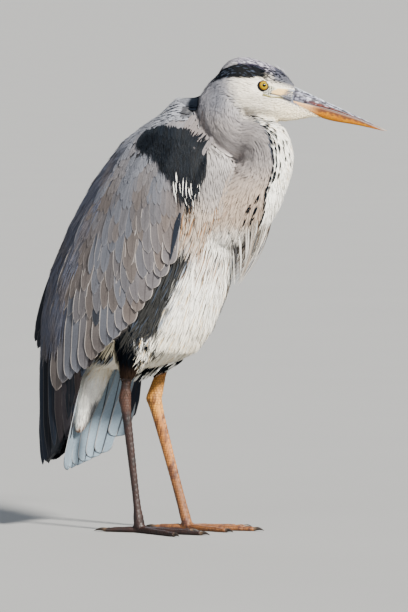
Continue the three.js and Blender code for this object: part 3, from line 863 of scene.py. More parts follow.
class Coat:
    """Vanes gathered into one piece."""

    def __init__(self):
        self.parts = []
        self.count = 0

    def add(self, path, normals, half_width, tones, spot, camber, shape="lance", columns=3, tilt=0.0,
            rim=0.0, shaft=0.0, cell=(PATCH, PATCH)):
        """path and normals are (vanes, stations, 3); tones is one colour for each vane or for each of its
        points; spot is each vane's place in the OFBake map and cell its size there."""
        vanes, stations = path.shape[:2]
        full = (vanes, stations, columns)
        s = np.linspace(0.0, 1.0, stations)
        across = np.linspace(-1.0, 1.0, columns)
        sideways = unit(np.cross(normals, unit(np.gradient(path, axis=1))))
        half = np.broadcast_to(np.asarray(half_width, float), (vanes,))
        wide = (half[:, None] * np.maximum(VANE_SHAPES[shape](s), 0.05))[..., None]
        out = (across * wide)[..., None]
        lift = (-camber * across ** 2 * wide + np.asarray(tilt) * across * half[:, None, None])[..., None]
        points = path[:, :, None] + sideways[:, :, None] * out + normals[:, :, None] * lift
        if tones.ndim == 2:
            tones = tones[:, None, None, :]
        reach = s[None, :, None] * np.linalg.norm(path[:, -1] - path[:, 0], axis=-1)[:, None, None] / 10.0
        place = stack(across * 0.5 * cell[0], ((s - 0.5) * cell[1])[None, :, None])
        self.parts.append((
            points.reshape(-1, 3),
            grid_faces(stations, columns, vanes) + self.count,
            np.broadcast_to(tones, full + (3,)).reshape(-1, 3),
            (spot[:, None, None, :] + place).reshape(-1, 2),
            *(np.broadcast_to(values, full).ravel() for values in (
                across, reach, np.reshape(rim, (-1, 1, 1)), np.reshape(shaft, (-1, 1, 1)),
            )),
        ))
        self.count += vanes * stations * columns

    def build(self, name, finish, replaces=()):
        points, faces, tones, patch, *numbers = (np.concatenate(part) for part in zip(*self.parts))
        numbers = dict(zip(("across", "reach", "rim", "shaft"), numbers))
        tones, patch = np.clip(tones, 0, 1), np.clip(patch, 0, 1)
        return piece(name, points, faces, finish, tones, numbers, patch, replaces)


# ---------------------------------------------------------------- the lie of the feathers


def about_fold(points, fold, turn):
    """Round a crease of the neck, in the neck's own middle plane."""
    x, _, z = in_neck(points).T
    return turned(stack(-turn * (z - fold[1]), 0, turn * (x - fold[0])), neck_turn(points[:, 2]))


def head_lie(points):
    along, side, _ = in_head(points).T
    fall_off = -0.10 - 0.012 * np.clip(along, 0, 60) - 0.9 * ramp(-along, 30, 56)
    return stack(-1.0, 0.10 * np.sign(side), fall_off) @ HEAD_AXES.T


NECK_FOLDS = {"neck_upper": ((123.6, 502.0), 1.0), "neck_mid": ((112.8, 448.0), -1.0)}  # middle and sense
PLAIN_LIES = {
    "neck_lower": (-0.42, 0, -0.9),
    "undertail": (-0.22, 0, -1),
    "thigh_r": (-0.05, 0, -1),
    "thigh_l": (-0.05, 0, -1),
}


def lie_of(owner, points):
    """The way a node's feathers run at points on it."""
    _, y, z = points.T
    if owner == "head":
        return head_lie(points)
    if owner in NECK_FOLDS:
        return about_fold(points, *NECK_FOLDS[owner])
    if owner == "trunk":
        lean = np.interp(z, [200, 260, 330, 420, 470], [0.75, 0.6, 0.42, 0.1, 0.3])
        return stack(-lean, -0.12 * np.sign(y) * fall(z, 240, 300), -1)
    if owner == "mantle":
        lean = np.interp(z, [100, 200, 260, 340, 420, 470, 500], [0.0, 0.06, 0.2, 0.42, 0.55, 0.75, 1.3])
        return stack(-lean, 0.05 * np.sign(y), -1)
    return np.broadcast_to(PLAIN_LIES[owner], points.shape)


QUAD_CORNERS = FORM[QUADS]
QUAD_AREA = 0.5 * np.linalg.norm(
    np.cross(QUAD_CORNERS[:, 2] - QUAD_CORNERS[:, 0], QUAD_CORNERS[:, 3] - QUAD_CORNERS[:, 1]), axis=-1,
)
QUAD_OWNER = OWNER[QUADS[:, 0]]
rng = np.random.default_rng(2558)


def scattered(owner, spacing, keep=None):
    """Points spread over a node's part of the form, about spacing apart, with normals."""
    faces = np.flatnonzero(QUAD_OWNER == owner)
    if keep is not None:
        faces = faces[keep(QUAD_CORNERS[faces].mean(axis=1))]
    area = QUAD_AREA[faces]
    wanted = int(area.sum() / spacing ** 2 * 3)
    chosen = faces[rng.choice(len(faces), wanted, p=area / area.sum())]
    a, b = rng.uniform(size=(2, wanted, 1))
    p = QUAD_CORNERS[chosen]
    points = (p[:, 0] * (1 - a) + p[:, 1] * a) * (1 - b) + (p[:, 3] * (1 - a) + p[:, 2] * a) * b
    _, first = np.unique(np.floor(points / spacing).astype(int), axis=0, return_index=True)
    first = np.sort(first)
    return points[first], GUIDE.normals[chosen[first]]


def combed(roots, normals, length, owner, stations, jitter, low, high, flick=0.0, uneven=0.12, rng=rng):
    """Paths that start low under the outline, follow the lie over the form and end high above it.
    Heights are in millimetres, from the outline; flick lifts the last part of some vanes."""
    count = len(roots)
    step = np.broadcast_to(np.asarray(length, float), (count,))[:, None] / (stations - 1)
    stray = rng.normal(size=(count, 3)) * jitter
    places, ups = [roots], [normals]
    for _ in range(stations - 1):
        run = unit(lie_of(owner, places[-1])) + stray
        run = unit(run - ups[-1] * np.sum(run * ups[-1], axis=-1, keepdims=True))
        place, normal = GUIDE.nearest(places[-1] + run * step)
        places.append(place)
        ups.append(normal)
    path, up = np.stack(places, axis=1), np.stack(ups, axis=1)
    s = np.linspace(0.0, 1.0, stations)
    low, high = (np.broadcast_to(np.asarray(value, float), (count,))[:, None] for value in (low, high))
    height = -low * (1 - s) ** 0.8 + high * s + flick * rng.uniform(0, 1, (count, 1)) ** 3 * s ** 3
    height += rng.uniform(-uneven, uneven, (count, 1)) * low
    return path + up * height[..., None], up


def coat_tones(owner, path, share, vary):
    """The marking under each vane's showing part, a little lighter or darker from vane to vane."""
    tones = TONES[owner](path[:, 0] * (1 - share) + path[:, -1] * share)
    return np.clip(tones * (1 + rng.normal(size=(len(tones), 1)) * vary), 0.0, 1.0)


def some(chance, rng=rng):
    """1 for each vane with its own chance, else 0."""
    return (rng.uniform(size=len(chance)) < chance).astype(float)


# ---------------------------------------------------------------- skin and body coat

FLOOR_GAP = 0.15  # between the skin's soles and the floor
SKIN_SHADE = 0.9  # the skin is a little darker than the feathers over it
LEG_HEIGHTS = {"r": (10, 160, 185), "l": (10, 158, 201)}
LEG_LINES = {  # x and y of each leg's middle at those heights
    "r": ((-2, -21, -18), (-30, -29, -31)),
    "l": ((35, -7, 4), (30, 28, 33)),
}


def lore_low(along):
    return np.interp(along, [3, 14, 24, 30, 40], [-10.8, -10.2, -7.2, -8.2, -8.6])


def lore_high(along):
    return np.interp(along, [3, 8, 14, 20, 29, 34, 40], [2.0, 5.2, 4.6, 5.2, 6.8, 8.2, 9.4])


def feathered_face(points):
    """False over the eye, the lores and the gape, where no feather grows."""
    along, _, up = in_head(points).T
    eye = (along / 8.9) ** 2 + (up / 7.8) ** 2 < 1.0
    lore = (along > 3) & (up < lore_high(along) - 0.8) & (up > lore_low(along) + 0.8)
    return ~(eye | lore)


def skin_map():
    """The skin's OFBake map: the body above, and below it a tile for the head and one for each leg."""
    spots = unwrap(FORM) * [1, 0.7] + [0, 0.3]
    on_head = OWNER == "head"
    spots[on_head] = head_unwrap(FORM[on_head]) * [0.3, 0.28]
    for tag, column in (("r", 0.34), ("l", 0.67)):
        part = np.isin(OWNER, [name for name in LEG_NODES if name.endswith("_" + tag)])
        x, y, z = FORM[part].T
        middle_x, middle_y = (np.interp(z, LEG_HEIGHTS[tag], line) for line in LEG_LINES[tag])
        u = np.arctan2(y - middle_y, x - middle_x) / (2 * math.pi) + 0.5
        spots[part] = stack(column + 0.3 * u, 0.01 + 0.26 * np.clip(z / 210.0, 0, 1) ** 0.6)
    return spots


def make_skin():
    points = FORM - NORMALS * coat_depths()[:, None]
    points[:, 2] = np.maximum(points[:, 2], FLOOR_GAP)
    tones = tones_at(FORM, OWNER) * SKIN_SHADE
    piece("skin", points, QUADS, skin_finish(), tones, {}, skin_map(), FLESH_NODES)


def make_head_coat():
    coat = Coat()
    roots, normals = scattered("head", 1.7, feathered_face)
    along, _, up = in_head(roots).T
    length = np.interp(along, [-56, -30, 0, 30, 80], [12.5, 9.5, 6.6, 4.2, 3.2])
    length *= rng.uniform(0.8, 1.2, len(roots))
    path, ups = combed(roots, normals, length, "head", 4, 0.08, 1.5, 0.2, 0.0, 0.05)
    crown = ramp(up, 17, 22) * fall(along, 8, 18)
    fleck = ramp(up, 7, 11) * fall(up, 21, 25) * ramp(along, -6, 0) * fall(along, 8, 36)
    tones = painted(
        coat_tones("head", path, 0.6, 0.035),
        (CROWN_DASH, 0.8 * some(0.36 * crown)),
        (BLACK, 0.92 * some(0.55 * fleck)),
        (STRIPE_BLUE, 0.6 * some(0.1 * stripe_share(along, up))),
    )
    half = np.interp(along, [-56, 0, 80], [1.0, 0.8, 0.6])
    coat.add(path, ups, half, tones, head_unwrap(roots), 0.12)
    add_crest(coat)
    add_chin(coat)
    coat.build("head_coat", VANE_SOFT)


def add_crest(coat, count=7):
    """A few feathers that stand up a little on the forehead."""
    start = np.array([[15.0 + 1.6 * k, 1.1 * (k % 3 - 1), 27.0] for k in range(count)])
    roots, normals = GUIDE.nearest(from_head(start))
    path, ups = combed(roots, normals, 10.0, "head", 5, 0.12, 0.5, 3.4)
    coat.add(path, ups, 0.75, np.tile(CREST_PALE, (count, 1)), head_unwrap(roots), 0.3)


def add_chin(coat, count=900):
    """Short cream feathers that run out below the lower half of the bill and thin to a point."""
    along = 34 + 46 * rng.uniform(size=count) ** 0.9
    around = rng.uniform(-1, 1, count) * np.interp(along, [34, 38, 46, 62, 80], [1.7, 1.3, 1.15, 0.95, 0.3])
    length = np.interp(along, [34, 88], [7.5, 4.0])
    s = np.linspace(0, 1, 4)[None, :]
    back = along[:, None] - length[:, None] * s
    rows = np.array(LOWER_BILL)
    top, bottom, half = (np.interp(back, rows[:, 0], rows[:, k]) for k in (1, 2, 3))
    depth = (top - bottom) + 0.25 + 0.75 * s
    across, down = np.sin(around)[:, None], np.cos(around)[:, None]
    path = from_head(stack(back, across * (half + 0.2 + 0.5 * s), top - down * depth))
    ups = unit(stack(0 * back, across, -down)) @ HEAD_AXES.T
    tones = np.tile(CREAM, (count, 1)) * rng.uniform(0.85, 1.05, (count, 1))
    coat.add(path, ups, 0.8, tones, head_unwrap(path[:, 0]), 0.3)


NECK_PLANS = [  # node, spacing, length, half width, depth of the roots, stand-off and looseness of the tips
    ("neck_upper", 2.1, 11.0, 1.0, 2.4, 0.1, 0.0),
    ("neck_mid", 2.1, 11.0, 1.0, 2.6, 0.1, 0.0),
    ("neck_lower", 2.5, 20.0, 1.15, 3.4, 0.5, 0.9),
]


def make_neck_coat():
    coat = Coat()
    for owner, spacing, length, half, depth, stand, loose in NECK_PLANS:
        roots, normals = scattered(owner, spacing)
        long = length * rng.uniform(0.75, 1.3, len(roots))
        x, _, z = in_neck(roots).T
        stand = stand + 2.2 * bell(np.hypot(x - FOLD_END[0], z - FOLD_END[1]), 11)
        path, ups = combed(roots, normals, long, owner, 5, 0.07, depth, stand, loose, 0.04)
        x, _, z = in_neck(path[:, 3]).T
        front = ramp(x - foreneck_line(z), 2.5, 5) * fall(z, 500, 506)
        tones = painted(
            coat_tones(owner, path, 0.65, 0.035),
            (BLACK, 0.9 * some(0.4 * front * ramp(z, 486, 496))),
            (FORENECK_OCHRE, 0.4 * some(0.06 * front)),
        )
        coat.add(path, ups, half, tones, unwrap(roots), 0.12)
    for side in SIDES.values():
        add_dashes(coat, side)
    add_nape_bridge(coat)
    coat.build("neck_coat", VANE_SOFT)


def add_nape_bridge(coat, count=260):
    """Feathers of the hind neck that fill the dip between neck and mantle, dark with painted shade by the
    neck.
    """
    rng = np.random.default_rng(52)
    s = np.linspace(0, 1, 6)[None, :]
    side = rng.uniform(-1, 1, count)[:, None]
    layer = rng.uniform(size=count)[:, None] ** 0.6
    x = 67 - s * (11 + 12 * layer + rng.uniform(0, 6, (count, 1)))
    y = side * (15 + 2 * s) + s * rng.normal(size=(count, 1))
    top = np.interp(x, [42, 50, 60, 67], [522.0, 523.4, 524.2, 526.0])
    ridge = np.interp(x, [42, 51, 60, 67], [520.5, 516.0, 512.0, 511.0])
    z = ridge + (top - ridge) * layer * (1 - 0.25 * s) - 7.0 * side ** 2
    z = z + 0.7 * s * rng.normal(size=(count, 1))
    path = stack(x, y, z)
    # painted shade: slate by the neck, shoulder grey further back
    tones = mix(SLATE * 0.6, SHOULDER_GREY, 0.9 * fall(x - 3 * layer, 49, 53))
    tones = tones * rng.uniform(0.8, 1.1, (count, 1, 1))
    coat.add(path, unit(stack(0 * x, 0.9 * side, 1)), 1.5, tones[:, :, None], unwrap(path[:, 0]), 0.2)


# distance before the foreneck's line, highest and lowest place, step, vanes in a dash, share left out
DASH_ROWS = [
    (-0.2, 499, 440, 8.6, 4, 0.05),
    (0.0, 440, 404, 10.5, 6, 0.1),
    (3.6, 500, 414, 9.0, 5, 0.15),
    (7.4, 500, 466, 6.5, 4, 0.15),
    (8.0, 466, 424, 10.5, 4, 0.25),
    (13.0, 492, 440, 9.5, 3, 0.2),
    (17.5, 484, 446, 12.0, 2, 0.3),
    (-8.0, 408, 376, 14.0, 8, 0.0),
    (-15.0, 396, 372, 15.0, 7, 0.0),
    (1.0, 400, 372, 12.0, 6, 0.1),
]


def add_dashes(coat, side):
    """Black dashes down the edge of the white foreneck, each a few narrow vanes."""
    rng = np.random.default_rng(77)
    places = []
    for before, top, bottom, step, vanes, gaps in DASH_ROWS:
        heights = np.arange(top, bottom, -step)
        for z in heights + rng.uniform(-1.5, 1.5, len(heights)):
            if rng.uniform() < gaps:
                continue
            off = rng.normal(size=(vanes, 2)) * [0.5, 1.3]
            places += [(foreneck_line(z + dz) + before + dx, z + dz) for dx, dz in off]
    x, z = np.array(places).T
    turn = neck_turn(z)
    origins = turned(stack(x, side * 70.0, z), turn, NECK_AXIS_X)
    roots, normals = GUIDE.along_rays(origins, turned(stack(0 * x, -side, 0), turn))
    long = rng.uniform(5, 9, len(roots))
    short = combed(roots, normals, long, "neck_mid", 5, 0.05, -0.1, 0.55, rng=rng)
    fallen = combed(roots, normals, long * 1.5, "neck_lower", 5, 0.05, -0.1, 0.9, rng=rng)
    path, ups = (np.where((z < 420)[:, None, None], b, a) for a, b in zip(short, fallen))
    tones = BLACK * rng.uniform(0.8, 1.8, (len(roots), 1))
    coat.add(path, ups, 0.65, tones, unwrap(roots), 0.12)


def showing(points):
    """True where the trunk isn't covered by wing and mantle."""
    x, y, z = points.T
    return (x > wing_edge_x(z) - 16) | (np.abs(y) < 14) | (z < 215)


# node, spacing, length, stations, half width, depth
HIND_PLANS = [
    ("thigh_r", 2.7, 18, 5, 1.3, 3.6),
    ("thigh_l", 2.7, 18, 5, 1.3, 3.6),
    ("undertail", 2.8, 30, 6, 1.7, 3.0),
]


def make_body_coat():
    coat = Coat()
    add_trunk_feathers(coat)
    add_hem(coat)
    for owner, spacing, length, stations, half, depth in HIND_PLANS:
        roots, normals = scattered(owner, spacing)
        long = length * rng.uniform(0.7, 1.3, len(roots))
        path, ups = combed(roots, normals, long, owner, stations, 0.11, depth, 0.4, 1.0, 0.08)
        coat.add(path, ups, half, coat_tones(owner, path, 0.6, 0.05), unwrap(roots), 0.2)
    coat.build("body_coat", VANE_SOFT)


def add_trunk_feathers(coat):
    """Hair-like feathers over breast, belly and flank, thinned out below the neck, with stray tints and
    painted sheen.
    """
    roots, normals = scattered("trunk", 2.7, showing)
    keep = (roots[:, 2] > 390) | (rng.uniform(size=len(roots)) < 0.72)
    roots, normals = roots[keep], normals[keep]
    z = roots[:, 2]
    long = np.interp(z, [200, 300, 380, 410, 470], [28, 42, 36, 22, 15]) * rng.uniform(0.75, 1.3, len(roots))
    depth, stand = np.interp(z, [390, 430], [4.4, 2.4]), np.interp(z, [390, 430], [0.4, 0.1])
    loose = np.interp(z, [330, 400], [1.3, 0.0])[:, None]
    path, ups = combed(roots, normals, long, "trunk", 6, 0.08, depth, stand, loose, 0.05)
    tones = coat_tones("trunk", path, 0.6, 0.03)
    x, y, z = path[:, 4].T
    flank = flank_share(path[:, 4])
    breast = ramp(z, 262, 320)
    streaky = breast * fall(z, 376, 396) * (1 - flank)
    front = ramp(x, 2, 12) * fall(z, 232, 250) * fall(x, 26, 40) * ramp(np.abs(y), 24, 34)
    dark = some(0.07 * streaky)
    brown = some(0.3 * streaky) * (1 - dark)
    tones = painted(
        tones,
        (BUFF, 0.8 * brown),
        (SLATE, 0.9 * dark),
        (BELLY_OCHRE, 0.6 * some(0.12 * (1 - breast) * (1 - flank))),
        (FLANK_PALE, 0.75 * some(0.4 * band(flank, 0.15, 0.9, 0.1))),
        # painted bluish sheen on a few black flank feathers
        (FLANK_SHEEN, 0.5 * some(0.1 * ramp(flank, 0.8, 1.0))),
        (SLATE * 0.7, 0.9 * some(0.4 * front)),
    )
    half = np.interp(roots[:, 2], [200, 330, 400, 430], [1.6, 1.5, 1.4, 1.1])
    half = half * (1 - 0.5 * np.maximum(dark, brown))
    coat.add(path, ups, half, tones, unwrap(roots), 0.15)


def add_hem(coat, count=190):
    """Loose black and white feathers that hang from the belly's hind end between the legs."""
    rng = np.random.default_rng(53)
    x = rng.uniform(-30, 34, count)
    roots, normals = GUIDE.nearest(stack(x, rng.uniform(-16, 26, count), 196.0))
    s = np.linspace(0, 1, 6)[None, :, None]
    drop = np.interp(x, [-30, -5, 14, 34], [13, 15, 11, 6]) * rng.uniform(0.5, 1.1, count)
    drop = stack(-0.5 * drop, rng.normal(size=count) * 1.2, -drop)[:, None]
    path = roots[:, None] + drop * s - normals[:, None] * 1.5 * (1 - s)
    path[..., 0] += 8.0 * (1 - s[..., 0])
    ups = unit(np.array([[0.35, -1.0, 0.1]]) + rng.normal(size=(count, 3)) * 0.25)
    ups = np.repeat(ups[:, None], 6, axis=1)
    white = some(np.full(count, 0.42), rng)
    tones = mix(BLACK * rng.uniform(0.8, 2.0, (count, 1)), WHITE, white)
    coat.add(path, ups, 1.3, tones, unwrap(roots), 0.2)


def make_plumes(count=150):
    """Long loose plumes that hang from the base of the neck over the breast."""
    coat = Coat()
    around = rng.uniform(-1, 1, count)
    x = rng.uniform(104, 148, count)
    roots, _ = GUIDE.nearest(stack(x, around * 22, 372 + 0.25 * (x - 120)))
    tip_x = 110 + rng.uniform(-6, 9, count)
    tip = stack(tip_x, around * rng.uniform(1, 7, count), 300 + rng.uniform(-4, 44, count))
    s = np.linspace(0, 1, 9)[None, :, None]
    bow = stack(8 * (1 - (150 - x) / 46), 0, 0)[:, None]
    path = roots[:, None] * (1 - s) + tip[:, None] * s + bow * np.sin(math.pi * s)
    ups = unit(stack(0.3, around + rng.normal(size=count) * 0.3, 0))
    ups = np.repeat(ups[:, None], 9, axis=1)
    tones = mix(WHITE, PLUME_BROWN, rng.uniform(0, 1, count) ** 0.6)
    tones = mix(tones, SLATE, (rng.uniform(size=count) < 0.3) * 0.85)
    coat.add(path, ups, rng.uniform(0.5, 1.25, count), tones, unwrap(roots), 0.2, shaft=0.4)
    coat.build("breast_plumes_coat", VANE_SOFT, ["breast_plumes"])


def make_mantle_coat():
    """Soft short feathers over the shoulders, then long pointed plumes down the back."""
    coat = Coat()
    roots, normals = scattered("mantle", 4.4)
    z = roots[:, 2]
    long = np.interp(z, [254, 330, 420, 462, 488], [46, 84, 66, 24, 9]) * rng.uniform(0.8, 1.2, len(roots))
    order = np.argsort(z)
    roots, normals, long, z = roots[order], normals[order], long[order], z[order]
    depth, high = np.interp(z, [430, 490], [2.8, 1.6]), np.interp(z, [430, 480], [0.7, 0.0])
    flick = np.interp(z, [430, 470], [0.4, 0.0])[:, None]
    path, ups = combed(roots, normals, long, "mantle", 9, 0.05, depth, high, flick, 0.05)
    keep = ~in_patch(path[:, -1])
    path, ups, roots, z = path[keep], ups[keep], roots[keep], z[keep]
    half = np.interp(z, [254, 430, 480], [3.3, 3.0, 1.5])
    tones = coat_tones("mantle", path, 0.6, 0.06)
    rim = np.where(z < 440, rng.uniform(0.0, 0.5, len(z)), 0.0)
    coat.add(path, ups, half, tones, unwrap(roots), 0.2, columns=5, rim=rim, shaft=0.35)
    coat.build("mantle_coat", VANE_FIRM)


# heights of the black shoulder patch's edges along the bird
patch_top = along_line([(2, 472), (10, 484), (33, 492), (62, 488), (80, 480), (91, 466)])
patch_bottom = along_line([(2, 468), (21, 462), (40, 448), (55, 438), (72, 424), (91, 442)])


def in_patch(points):
    """True where the black shoulder patch has to show."""
    x, y, z = points.T
    return (np.abs(y) > 24) & (x > 4) & (x < 90) & (z < patch_top(x) - 1) & (z > 430)


# ---------------------------------------------------------------- wings, laid out as seen from the side

# places by height: the mantle's edge over the wing and the wing's front; and the height of the tips of
# the flight feathers along the bird
mantle_edge_x = along_line([
    (500, 84), (497, 46), (486, 16), (458, -8), (418, -27), (380, -48), (338, -68), (292, -86), (254, -104),
    (230, -121), (200, -130), (172, -133), (140, -136), (100, -139), (74, -142),
])
wing_front_x = along_line(WING_EDGE + [(150, -88), (108, -100), (82, -124), (74, -140)])
flight_tips_z = along_line([(54, 326), (0, 252), (-64, 198), (-92, 178), (-112, 168)])
FLIGHT_STATIONS = 30
FLIGHT_GREY_HEIGHT = 280  # the secondaries have the grey of the wing at this height
FLIGHT_CELLS = (8, 6)  # columns and rows of a wing's flight feathers in the OFBake map
TAIL_CELLS = (4, 4)


def smooth_along(values):
    """Evens out values along each vane; the two ends stay."""
    for _ in range(3):
        inner = 0.25 * values[:, :-2] + 0.5 * values[:, 1:-1] + 0.25 * values[:, 2:]
        values = np.concatenate([values[:, :1], inner, values[:, -1:]], axis=1)
    return values


def side_vanes(side, tip_x, tip_z, length, lean, low, high, stations=17, margin=None):
    """Paths on the wing's outer face from roots above to tips given in side view. With a margin they run
    straight on past the wing's front edge, at the height they have that far behind it."""
    s = np.linspace(0, 1, stations)[None, :]
    back = (1 - s) * length[:, None]
    x = tip_x[:, None] + back * np.sin(lean)[:, None]
    z = tip_z[:, None] + back * np.cos(lean)[:, None]
    on = x if margin is None else np.minimum(x, wing_front_x(z) - margin)
    path, up = GUIDE.from_side(side, on, z)
    path[..., 0] += x - on
    up = unit(smooth_along(up))
    height = low * (1 - s) + high * s
    return smooth_along(path) + up * height[..., None], up


# rows of coverts from the longest up: tip height, spacing, length, half width, lowest and highest layer
# over the form, strength of the pale rim, unevenness of the tips
COVERT_ROWS = [
    (262, 10.6, 92, 8.2, -1.5, -0.6, 0.75, 6.0),
    (294, 10.8, 80, 8.2, -1.2, -0.4, 0.7, 8.0),
    (328, 9.6, 70, 7.4, -1.0, -0.2, 0.5, 9.0),
    (358, 8.2, 58, 6.0, -0.9, -0.05, 0.26, 9.0),
    (382, 6.8, 46, 4.8, -0.8, 0.05, 0.12, 7.0),
    (402, 5.8, 36, 3.8, -0.7, 0.15, 0.06, 6.0),
    (419, 5.0, 28, 3.0, -0.7, 0.2, 0.0, 5.0),
    (434, 4.4, 23, 2.5, -0.6, 0.25, 0.0, 4.0),
    (447, 4.2, 20, 2.3, -0.6, 0.3, 0.0, 4.0),
    (459, 4.2, 18, 2.3, -0.6, 0.3, 0.0, 4.0),
    (470, 4.2, 17, 2.3, -0.6, 0.3, 0.0, 4.0),
    (480, 4.2, 16, 2.3, -0.6, 0.3, 0.0, 4.0),
]
ROW_SLOPE = 0.2  # rows climb towards the wing's front


def make_coverts(coat, side, rng):
    for tip_height, spacing, length, half, low, high, rim, uneven in COVERT_ROWS:
        back, front = mantle_edge_x(tip_height), wing_front_x(tip_height)
        x = np.arange(back - 14, front + 12, spacing)
        x = x + rng.uniform(-0.26, 0.26, len(x)) * spacing
        z = tip_height + ROW_SLOPE * (x - 0.5 * (back + front)) + rng.normal(size=len(x)) * uneven
        keep = (x < wing_front_x(z) + 1.0) & (x > mantle_edge_x(z) - 12)
        x, z = x[keep], z[keep]
        lean = np.interp(x - mantle_edge_x(z), [0, 40, 80, 130], [24, 11, 3, -3])
        lean = np.radians(lean + rng.normal(size=len(x)) * 2.0)
        long = length * rng.uniform(0.88, 1.12, len(x))
        path, up = side_vanes(side, x, z, long, lean, low, high, margin=3.0)
        vary = 0.1 if tip_height < 340 else 0.06
        tones = np.clip(wing_tone(path[:, 12]) * rng.uniform(1 - vary, 1 + vary, (len(x), 1)), 0, 1)
        rims = rim * rng.uniform(0.3, 1.25, len(x))
        wide = half * rng.uniform(0.88, 1.15, len(x))
        coat.add(path, up, wide, tones, unwrap(path[:, 0]), 0.05, "leaf", 7, 0.04 * side, rims, 0.25)
    # two single slate feathers: one tip among the greater coverts, and a sliver down the wing's front
    path, up = side_vanes(side, *np.array([[-41.0], [250.0], [42.0], [0.02]]), -1.6, -0.1)
    coat.add(path, up, 6.2, COVERT_SLATE[None], unwrap(path[:, 0]), 0.06, "leaf", 7, rim=0.3, shaft=0.3)
    path, up = side_vanes(side, *np.array([[54.0], [331.0], [58.0], [0.24]]), 0.2, 0.9)
    coat.add(path, up, 3.6, SLATE[None] * 0.8, unwrap(path[:, 0]), 0.1, columns=5)


def flight_cell(number, cells):
    """Flight feathers' places and size in their piece's OFBake map of so many columns and rows."""
    columns, rows = cells
    size = np.array([0.92 / columns, 0.92 / rows])
    return stack((number % columns + 0.5) / columns, (number // columns + 0.5) / rows), size


def make_flight(tag, side, rng):
    """Secondaries and tertials with pale front edges, and dark primaries below them, on both faces."""
    coat = Coat()
    tip_x = np.arange(53.0, -110.0, -10.4)
    first = len(tip_x)
    tip_z = flight_tips_z(tip_x) + rng.normal(size=first) - 1.2 * (np.arange(first) % 2)
    length = np.interp(tip_x, [-112, 0, 54], [165, 125, 80])
    lean = np.radians(np.interp(tip_x, [-112, -60, 54], [3.0, 7.0, 5.0]))
    path, up = side_vanes(side, tip_x, tip_z, length, lean, -2.4, -1.1, FLIGHT_STATIONS, 3.0)
    level = path[:, 20] * [1, 1, 0] + [0, 0, FLIGHT_GREY_HEIGHT]
    tones = wing_tone(level) * rng.uniform(0.88, 1.06, (first, 1))
    spot, size = flight_cell(np.arange(first), FLIGHT_CELLS)
    coat.add(path, up, 9.6, tones, spot, 0.08, "quill", 9, 0.08 * side, 0.7, 0.5, size)
    count = 11
    line = np.linspace(0, 1, count)
    tip_x = np.interp(line, [0, 0.25, 0.5, 0.8, 1], [-56, -82, -97, -124, -138])
    tip_z = np.interp(line, [0, 0.25, 0.5, 0.75, 1], [200, 162, 112, 94, 73])
    tip_z = tip_z + 4 * np.sin(np.arange(count) * 2.1)
    lean = np.radians(np.interp(line, [0, 0.3, 1], [22, 9, 1]))
    for face, keep, low, high, long in ((0, line > -1, -3.0, -1.8, 120), (1, line > 0.3, -8.0, -9.0, 84)):
        laid = tip_x[keep], tip_z[keep], (long + 20 * line)[keep], lean[keep]
        path, up = side_vanes(side, *laid, 0.0, 0.0, FLIGHT_STATIONS, 6.0)
        up = unit(up * [0.25, 1.0, 0.25])
        path = path + up * np.linspace(low, high, FLIGHT_STATIONS)[None, :, None]
        tones = SLATE * rng.uniform(0.35, 1.15, (len(path), 1))
        tones = mix(tones, QUILL_BROWN, 0.5 * some(np.full(len(path), 0.3), rng))
        spot, size = flight_cell(first + count * face + np.arange(len(path)), FLIGHT_CELLS)
        coat.add(path, up, 6.4, tones, spot, 0.10, "primary", 9, 0.07 * side, 0.1, 0.6, size)
    add_back_quills(coat, side, first + 2 * count)
    coat.build(f"flight_feathers_{tag}", VANE_FIRM)


def add_back_quills(coat, side, first):
    """Three dark quills whose round tips stand out a little past the back's outline."""
    tip = np.array([[-147.0, 226.0], [-144.5, 236.0], [-141.0, 218.0]])
    s = np.linspace(0, 1, 24)[None, :]
    back = (1 - s) * 90.0
    x = tip[:, :1] + back * np.interp(s, [0, 1], [0.34, 0.16])
    path = stack(x, side * (9.0 + 3.0 * np.arange(3))[:, None], tip[:, 1:] + back)
    up = np.broadcast_to(unit(np.array([-0.45, side * 0.9, 0.1])), path.shape)
    spot, size = flight_cell(first + np.arange(3), FLIGHT_CELLS)
    coat.add(path, up, 6.0, np.tile(SLATE * 0.45, (3, 1)), spot, 0.25, "quill", 9, 0.0, 0.2, 0.5, size)


# vanes, where they start, how long they are, half width, lowest and highest layer, how much the patch's
# lower edge is favoured, highest root
STRAND_PLANS = [
    (980, (3, 90), (9, 33), 1.35, (0.7, 2.4), 0.7, 500.0),
    (110, (56, 84), (26, 48), 0.9, (1.6, 2.9), 2.0, 462.0),
    (19, (56, 86), (24, 46), 0.95, (0.7, 3.3), 2.0, 450.0),
]


def make_shoulder_patch(coat, side, rng):
    """The glossy black patch at the wing's bend, whose long strands droop over the wing's front with
    white ones between them."""
    for number, (count, reach, lengths, half, layers, low_favoured, highest) in enumerate(STRAND_PLANS):
        x = rng.uniform(*reach, count)
        share = rng.uniform(size=count) ** low_favoured
        z = patch_top(x) * share + patch_bottom(x) * (1 - share)
        z = np.minimum(z, highest + rng.uniform(-9, 5, count))
        long = np.interp(x, [3, 30, 55, 75, 90], np.interp([0, 0.3, 0.7, 1, 0.6], [0, 1], lengths))
        long = long * rng.uniform(0.6, 1.1, count)
        lean = np.radians(np.interp(x, [3, 50, 90], [-26, -13, 2]) + rng.normal(size=count) * 3)
        order = np.argsort(z)
        x, z, long, lean = x[order], z[order], long[order], lean[order]
        path, up = side_vanes(side, x - long * np.sin(lean), z - long * np.cos(lean), long, lean, *layers, 7)
        tones = BLACK * rng.uniform(0.5, 2.2, (count, 1)) if number < 2 else np.tile(WHITE, (count, 1))
        coat.add(path, up, half, tones, unwrap(path[:, 0]), 0.3)


